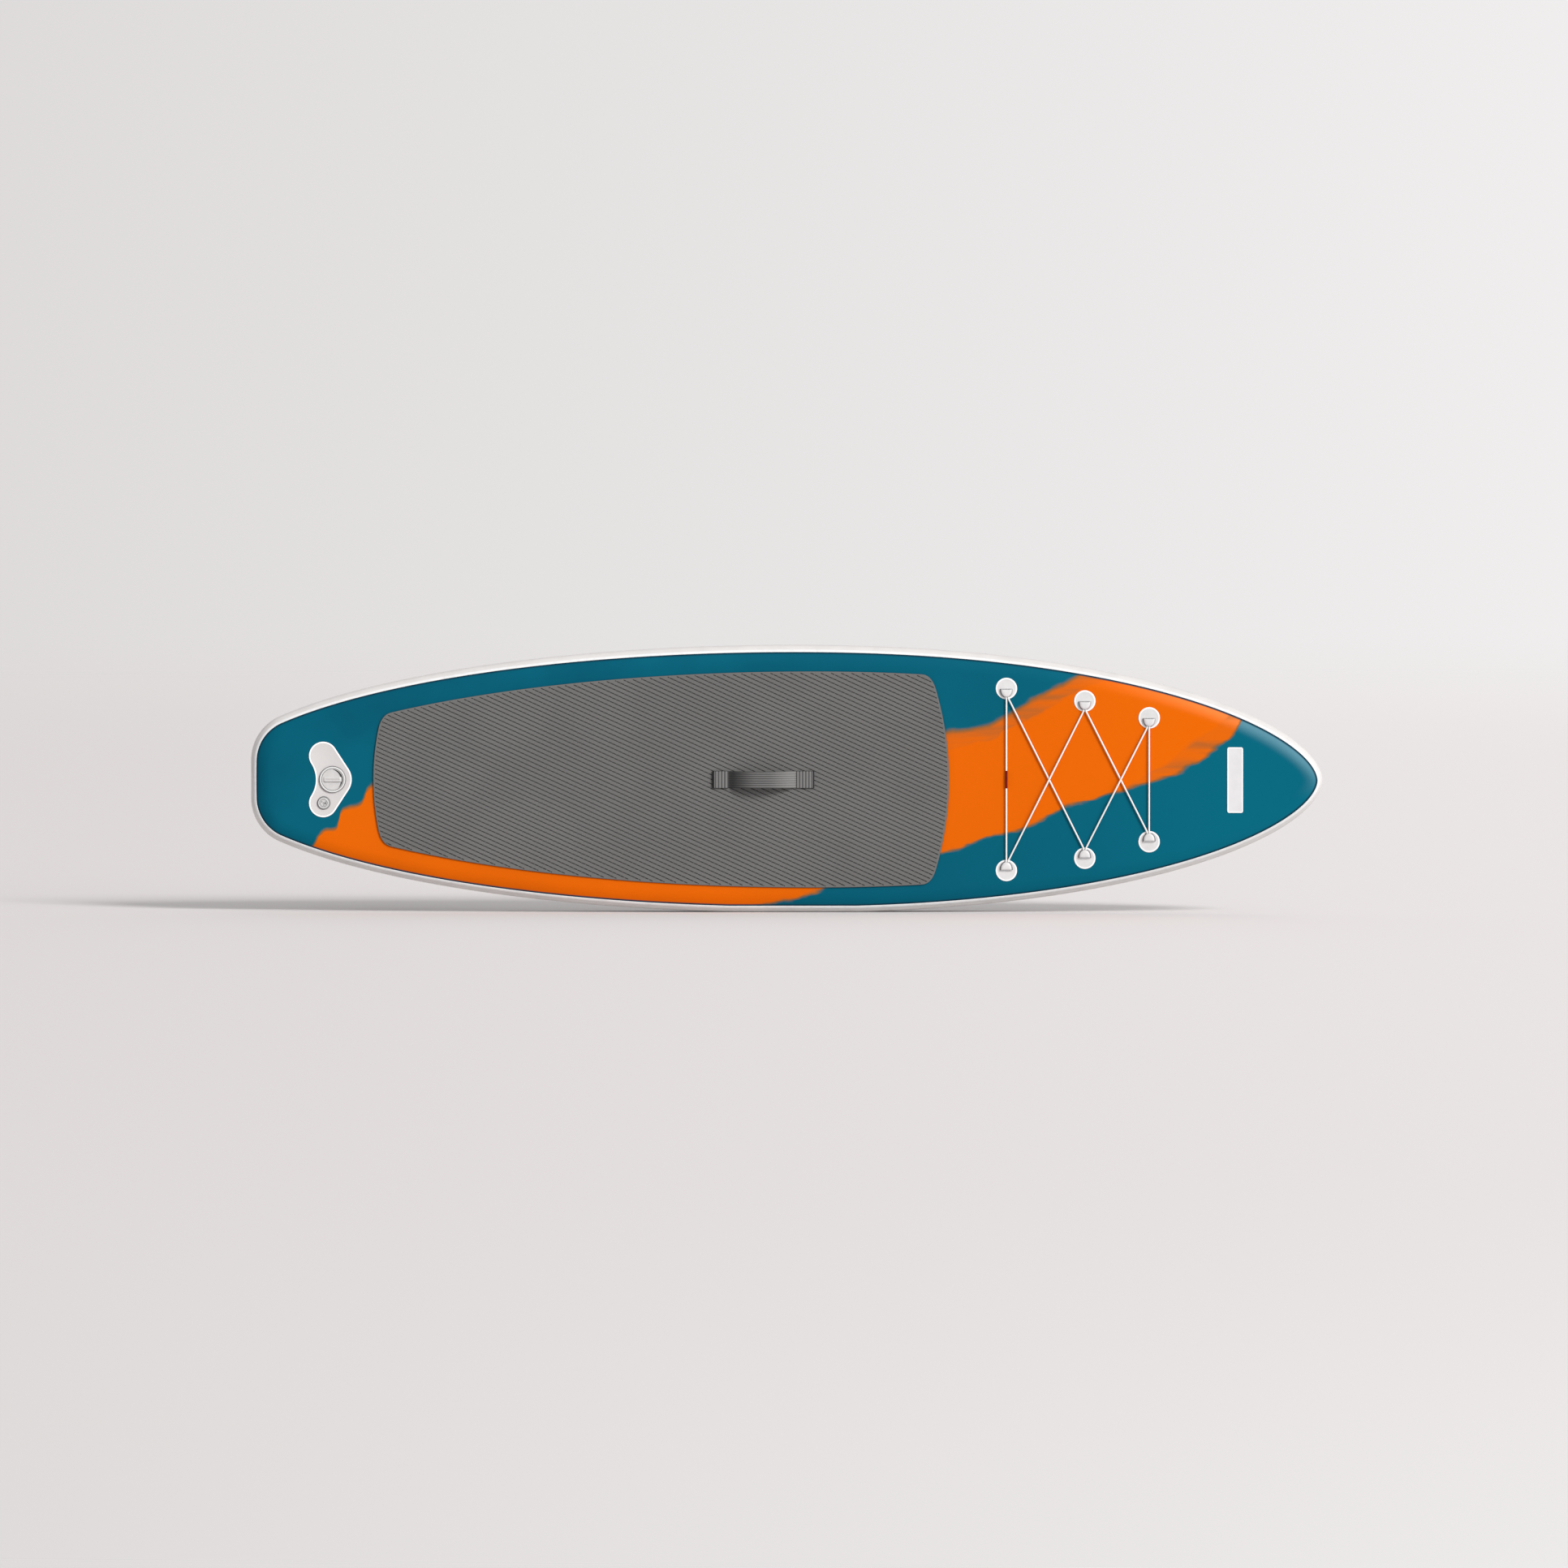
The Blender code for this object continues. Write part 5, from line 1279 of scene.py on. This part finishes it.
def lacing_line():
    """Middle line of the cord: round each peg, bent in the hood's mouth, and straight on.

    Places in a mouth count strands from its middle. A strand meets its peg along a tangent;
    where it turns in the mouth it follows a quadratic curve, and two of the strands rise
    over the others by a squared sine."""
    guide = np.array(LACE_AT)[[0, 1, 2, 2, 1, 0]]
    side = np.array([1, -1, 1, -1, 1, -1])
    hand = np.array([-1, -1, -1, 1, 1, 1])
    peg = np.stack([guide[:, 0], side * (guide[:, 1] - PEG_IN / 1000)], -1)
    gates = [np.stack([guide[:, 0] + STRAND * np.array(places), side * (guide[:, 1] - MOUTH_IN)], -1)
             for places in ((0, -1, -2, 0, 1, 2), (2, 1, 0, -2, -1, 0))]
    touch = []
    for gate, way in zip(gates, (hand, -hand)):
        to = gate - peg
        touch.append(np.arctan2(to[:, 1], to[:, 0])
                     + way * side * np.arccos(CORD_ROUND / np.linalg.norm(to, axis=1)))
    turn = hand * side
    sweep = turn * np.mod(turn * (touch[1] - touch[0]), 2 * math.pi)
    spot = touch[0] + sweep * np.linspace(0, 1, 26)[:, None]
    arcs = peg + CORD_ROUND * np.stack([np.cos(spot), np.sin(spot)], -1)
    out, ahead = gates[1], np.roll(gates[0], -1, 0)

    def toward(start, end):
        way = end - start
        return start + way * MOUTH_EASE / np.linalg.norm(way, axis=1, keepdims=True)

    first = bend(toward(out, arcs[-1]), out, toward(out, ahead), 9)
    last = bend(toward(ahead, out), ahead, toward(ahead, np.roll(arcs[0], -1, 0)), 9)
    share = np.linspace(0, 1, 42)[1:-1, None, None]
    straight = first[-1] + share * (last[0] - first[-1])
    lift = CROSS_LIFT * np.sin(math.pi * share[:, 0]) ** 2
    rows = []
    for k in range(6):
        rise = lift * (k in (1, 4))
        flat = np.concatenate([arcs[:, k], first[:, k], straight[:, k], last[:, k]])
        rows.append(np.column_stack([flat, np.zeros(len(flat))]))
        rows[k][35:75, 2:] = rise
    end = rows[5]
    near = SLEEVE / 2 + 0.0003
    head = np.vstack([[(guide[0, 0], near, 0)], end[35:][end[35:, 1] > near + 0.003]])
    tail = np.vstack([end[:75][end[:75, 1] < -near - 0.003], [(guide[0, 0], -near, 0)]])
    whole = np.concatenate([head, *rows[:5], tail])
    return on_deck(whole[:, 0], whole[:, 1], CORD_UP + whole[:, 2])


cord_cover = Finish("cord_cover", (0.80, 0.80, 0.79), 0.72, specular=0.3)
braid_at = cord_cover.place("UV", scale=(1 / BRAID, BRAID_TURNS, 1))
along = braid_at.part("X")
across = braid_at.part("Y")
braid = (along + across).wave().most((along - across).wave())
# painted shade in the braid's hollows
cord_cover.paint(braid.step(-0.6, 0.5).between(CORD_HOLLOW_SHADE, CORD_WHITE))
cord_cover.bump(braid, 0.00018, 0.7)

sleeve_red = Finish("sleeve_red", SLEEVE_RED, 0.42, specular=0.15)
sleeve_worn = sleeve_red.place(scale=(300, 300, 60)).noise(1.0).step(0.4, 0.7)
sleeve_red.paint(sleeve_worn.between(SLEEVE_RED, SLEEVE_DEEP), sleeve_worn.step(0, 1, 0.36, 0.50))
sleeve_v = np.linspace(SLEEVE / 2, -SLEEVE / 2, 120)
from_end = np.minimum(sleeve_v + SLEEVE / 2, SLEEVE / 2 - sleeve_v)
ridges = 0.00012 * np.cos(2 * math.pi * sleeve_v / 0.0042) * eased(from_end, 0.004, 0.008)
sleeve_radius = SLEEVE_ROUND + ridges - 0.0006 * (1 - eased(from_end, 0, 0.0016))
sleeve_line = on_deck(LACE_AT[0][0] + 0 * sleeve_v, sleeve_v, CORD_UP)
sleeve = piece("cord_sleeve", [tube("sleeve", sleeve_line, sleeve_radius, 28)], sleeve_red,
               "cord_joiner", sharp=50)
cord_line = lacing_line()
cord = piece("lacing_cord", [tube("cord", cord_line, CORD, 18)], cord_cover,
             "bungee_cord", sharp=60)

# Nose plate. A bare rectangle of thick pale sheet welded across the nose, with its edge
# pressed up as a bead.
NOSE_PALE = (0.715, 0.710, 0.725)
NOSE_DULL = (0.68, 0.675, 0.69)
NOSE_AT = 1.339
NOSE_ROWS = [(23.5, 98.0, 6.0, 0.6), (23.5, 98.0, 6.0, 1.5), (23.2, 97.7, 5.8, 2.1),
             (22.6, 97.1, 5.3, 2.45), (21.6, 96.1, 4.6, 2.45), (20.9, 95.4, 4.2, 2.2),
             (20.2, 94.7, 3.8, 2.1), (15, 90, 3, 2.1), (9, 84, 2, 2.1), (3, 78, 1, 2.1),
             (0.4, 75.4, 0.3, 2.1)]
nose_sheet = Finish("nose_sheet", NOSE_PALE, 0.42)
nose_at = nose_sheet.place(at=(-NOSE_AT, 0, -SIDE))
nose_color = nose_at.mottled(34, NOSE_PALE, NOSE_DULL)
# painted highlight along the bead round the nose plate
for axis, low, high in (("X", 0.0192, 0.0204), ("Z", 0.0937, 0.0949)):
    nose_color = nose_at.part(axis).size().step(low, high).between(nose_color, SHEET_HIGHLIGHT)
nose_sheet.paint(nose_color)
coated_cloth(nose_sheet, 0.00005, 0.0003)
piece("nose_sheet_plate", [slab("nose", (NOSE_AT, 0), NOSE_ROWS, side=20)], nose_sheet,
      "nose_plate")

# Fin box. A moulded black box glued on the underside over a patch of sheet; it has a slot for
# the fin's tab, and a wider groove inside where a brass nut and a cross pin slide.
FIN_AT = -1.185
PATCH_GREY = (0.66, 0.65, 0.64)
PATCH_SOILED = (0.61, 0.60, 0.59)
PATCH_RIM = [(0, 0.3), (0, 1.2), (0.4, 1.75), (1.2, 2.0), (2.2, 2.0), (3.0, 1.8)]
BOX_BLACK = (0.018, 0.018, 0.020)
BOX_STREAK = (0.030, 0.030, 0.032)
BOX_ROWS = [(140, 17, 12, 2.1), (140, 17, 12, 7.0), (138.6, 15.8, 10.8, 8.2),
            (137.6, 15.0, 10, 9.4), (137.6, 15.0, 10, 23.6), (137.2, 14.6, 9.6, 25.0),
            (136.2, 13.6, 8.6, 25.8), (135, 12.4, 7.4, 26.0), (126.2, 6.1, 2.4, 26.0),
            (125.4, 5.3, 1.6, 25.7), (125, 4.9, 1.2, 25.0), (125, 4.9, 1.2, 16.0),
            (125, 8, 1.2, 16.0), (125, 8, 1.2, 9.0), (125, 4.9, 1.2, 9.0), (125, 4.9, 1.2, 5.0)]


def sheet_patch(name, centre, half_long, half_wide, corner, turn=0.0):
    """A slab of sheet with a pressed bead round it, filled by shrinking rows."""
    rows = [(half_long - inset, half_wide - inset, corner - inset, height)
            for inset, height in PATCH_RIM]
    return slab(name, centre, rows, turn, on_hull, corner=16, side=6)


def fibre_black(name, black, streak):
    """Fibre-filled black plastic: a fine moulded grain with slow streaks of tone and gloss."""
    finish = Finish(name, black, 0.45)
    flow = finish.place(scale=(12, 60, 60)).noise(1.0, 4.0, 0.6).step(0.35, 0.70)
    finish.paint(flow.between(black, streak), flow.step(0, 1, 0.38, 0.54))
    finish.bump(finish.place().noise(900, 2.0), 0.00006, 0.7)
    return finish


hull_patch = Finish("hull_patch", PATCH_GREY, 0.45)
hull_patch.paint(hull_patch.place().mottled(25, PATCH_GREY, PATCH_SOILED))
coated_cloth(hull_patch, 0.00005, 0.0003)
piece("fin_box_patch", [sheet_patch("patch", (FIN_AT, 0), 180, 55, 50)], hull_patch,
      "fin_patch")
box_black = fibre_black("box_black", BOX_BLACK, BOX_STREAK)
piece("slotted_fin_box", [slab("box", (FIN_AT, 0), BOX_ROWS, surface=on_hull, side=10)],
      box_black, "fin_box")

# Centre fin. A raked blade moulded with its tab and its screw ear; the tab drops into the slot,
# a cross pin holds its rear end and a screw down to the sliding nut its front end.
BLADE_TOP = 26.5
FIN_DEEP = 240.0
FIN_BLACK = (0.022, 0.022, 0.024)
FIN_STREAK = (0.034, 0.034, 0.036)
TAB_AT = -1.195
TAB_ROWS = [(66.4, 3.9, 1.6, 5.6), (67, 4.5, 2.0, 6.4), (67, 4.5, 2.0, 29.6), (66, 3.6, 1.4, 30.4)]
EAR_AT = -1.126
EAR_ROWS = [(19.6, 4.1, 1.6, 16.5), (20, 4.5, 2, 16.9), (20, 4.5, 2, 19.1), (19.6, 4.1, 1.6, 19.5)]
SCREW_AT = -1.117


def blade(root, chord, rake, deep, thick, top, levels, place):
    """Rows of symmetric sections: thin wings whose half thickness is
    2.6 root(f) (1 - f) + 0.16 f at a share f of the chord, on a chord that shrinks as a quarter
    ellipse while its front runs back as the 1.5th power of the depth. All in mm."""
    share = 0.985 * (np.arange(levels + 1) / levels)[:, None] ** 0.85
    front = (1 - np.cos(np.linspace(0, math.pi, 30))) / 2
    round_way = np.concatenate([front, front[-2:0:-1]])
    hand = np.concatenate([np.ones(30), -np.ones(28)])
    half = (thick * (1 - share) + 2.5) / 2
    side = hand * half * (2.6 * np.sqrt(round_way) * (1 - round_way) + 0.16 * round_way)
    along = root - rake * share ** 1.5 - chord * np.sqrt(1 - share ** 2) * round_way
    depth = top + deep * share + 0 * along
    return grid_mesh("blade", place(along / 1000, side / 1000, depth / 1000), around=True,
                     cap=True, base=True)


fin_black = fibre_black("fin_black", FIN_BLACK, FIN_STREAK)
fin_blade = blade(-1100, 225, 175, FIN_DEEP - BLADE_TOP, 9, BLADE_TOP, 30, on_hull)
tab = slab("tab", (TAB_AT, 0), TAB_ROWS, surface=on_hull)
ear = filled("ear", [slab("ear", (EAR_AT, 0), EAR_ROWS, surface=on_hull, cap=False, base=False),
                     turned("hole", [(2.3, 16.5), (2.3, 19.5)], (SCREW_AT, 0), 32,
                            surface=on_hull)],
             [DECK + 0.0165, DECK + 0.0195])
piece("rear_fin", [fin_blade, tab, ear], fin_black, "fin_centre", body="fin")
screw_steel = brushed("screw_steel", (0.60, 0.60, 0.61), 0.30, (500, 60, 500))
turned_brass = brushed("turned_brass", (0.70, 0.50, 0.22), 0.30, (500, 500, 60))
dress(screw_steel, "fin_screw")
dress(turned_brass, "fin_nut", "fin_pin")

# Side fins. Two small fixed fins of the same plastic, leaning outwards and turned in a little;
# each has a flat foot that is glued to a patch of sheet.
SIDE_FIN_AT = (-1.100, 0.165)
TOE = math.radians(2)
LEAN = 0.087
PATCH_THICK = 0.0021
FOOT_THICK = 0.004
FOOT_ROWS = [(61, 9, 8.8, 2.1), (61, 9, 8.8, 4.6), (60.4, 8.4, 8.2, 5.6), (59.4, 7.4, 7.2, 6.1),
             (52, 2, 1.8, 6.1)]
for name, side in (("left", 1), ("right", -1)):
    x, v = SIDE_FIN_AT[0], side * SIDE_FIN_AT[1]
    toe = -side * TOE

    def leaning(along, across, depth):
        """Set a fin's points in place: leant out with depth, turned by the toe angle."""
        across = across + side * LEAN * np.clip(depth - FOOT_THICK, 0, None)
        return on_hull(*about((x, v), toe, along, across), PATCH_THICK + depth)

    piece(f"side_fin_patch_{name}", [sheet_patch("patch", (x, v), 80, 25, 24, toe)], hull_patch,
          f"side_patch_{name}")
    foot = slab("foot", (x, v), FOOT_ROWS, toe, on_hull, corner=14)
    piece(f"small_fin_{name}", [blade(50, 100, 70, 92, 6, 3.0, 22, leaning), foot], fin_black,
          f"side_fin_{name}")

# Floor, air and lamps. A pale seamless floor that fades into air of the same colour, two soft lamps far
# off on the nose side, one high and one low, and even light from all round. The floor's colour is
# painted darker on the tail's side and lighter on the nose's side as painted light.
FLOOR_SHADED_LEFT = (0.700, 0.675, 0.670)
FLOOR_LIT_RIGHT = (0.805, 0.780, 0.776)
AIR_LEFT = (0.730, 0.708, 0.704)
AIR_RIGHT = (0.868, 0.852, 0.850)
FLOOR_NEAR = 14.0
FLOOR_FAR = 36.0
FLOOR_TONES = 3.4
DIM_SIDE = (0.20, 0.205, 0.215)
BRIGHT_SIDE = (0.66, 0.67, 0.69)
AIR_IN_LIGHT = 0.5

floor_paint = Finish("floor_paint", FLOOR_SHADED_LEFT, 0.9, specular=0.0)
floor_at = floor_paint.place()
# painted light: the floor darker towards the tail's side and lighter towards the nose's
floor_paint.paint(floor_at.part("X").step(-FLOOR_TONES, FLOOR_TONES).between(FLOOR_SHADED_LEFT,
                                                                             FLOOR_LIT_RIGHT))
far_off = floor_paint.add("VectorMath", {0: floor_at}, 1, operation="LENGTH")
faded = floor_paint.add("MixShader", {0: far_off.step(FLOOR_NEAR, FLOOR_FAR),
                                      1: floor_paint.shader.outputs[0],
                                      2: floor_paint.add("BsdfTransparent", {})})
floor_paint.fill(floor_paint.tree.nodes["Material Output"], {"Surface": faded})
turn = whole_turn(96)
reach = np.array([0.5, 2, 8, 20, FLOOR_FAR])[:, None]
disc = np.stack([reach * np.cos(turn), reach * np.sin(turn), 0 * reach * turn], -1)
floor = placed("floor", grid_mesh("floor", disc[::-1], around=True, cap=True))
floor.data.materials.append(floor_paint.material)

# the air is seen as the backdrop; its even light is half the backdrop's colours and half a
# wider range of tones, dim on the tail's side and bright on the nose's
world = bpy.data.worlds.new("air")
bpy.context.scene.world = world
world.use_nodes = True
air = Nodes(world.node_tree)
sideways = air.add("TexCoord", {}, "Generated").part("X")
wide_range, backdrop = [
    air.add("MapRange", {6: sideways, 7: [-reach] * 3, 8: [reach] * 3, 9: dim, 10: bright},
            "Vector", data_type="FLOAT_VECTOR")
    for reach, dim, bright in ((1, DIM_SIDE, BRIGHT_SIDE),
                               (VIEW_WIDTH / 2 / VIEW_FAR, AIR_LEFT, AIR_RIGHT))]
seen = air.add("LightPath", {}, "Is Camera Ray").most(AIR_IN_LIGHT)
for ray in ("Is Glossy Ray", "Is Transmission Ray"):
    seen = seen.most(air.add("LightPath", {}, ray))
air.fill(world.node_tree.nodes["Background"], {"Color": seen.between(wide_range, backdrop)})


def sun(name, toward_lamp, spread, strength, color=(1, 1, 1)):
    """Light from far off: the direction to the lamp, and how many degrees wide it looks."""
    data = bpy.data.lights.new(name, "SUN")
    data.angle = math.radians(spread)
    data.energy = strength
    data.color = color
    lamp = placed(name, data)
    across, deep, up = toward_lamp
    lamp.rotation_euler = (math.atan2(math.hypot(across, deep), up), 0,
                           math.atan2(deep, across) + math.pi / 2)


sun("key_light", (0.56, -0.66, 0.50), 18, 2.40, (1, 0.985, 0.965))
sun("nose_light", (0.78, -0.66, 0.20), 24, 0.50)

bpy.context.scene.view_settings.view_transform = "Standard"
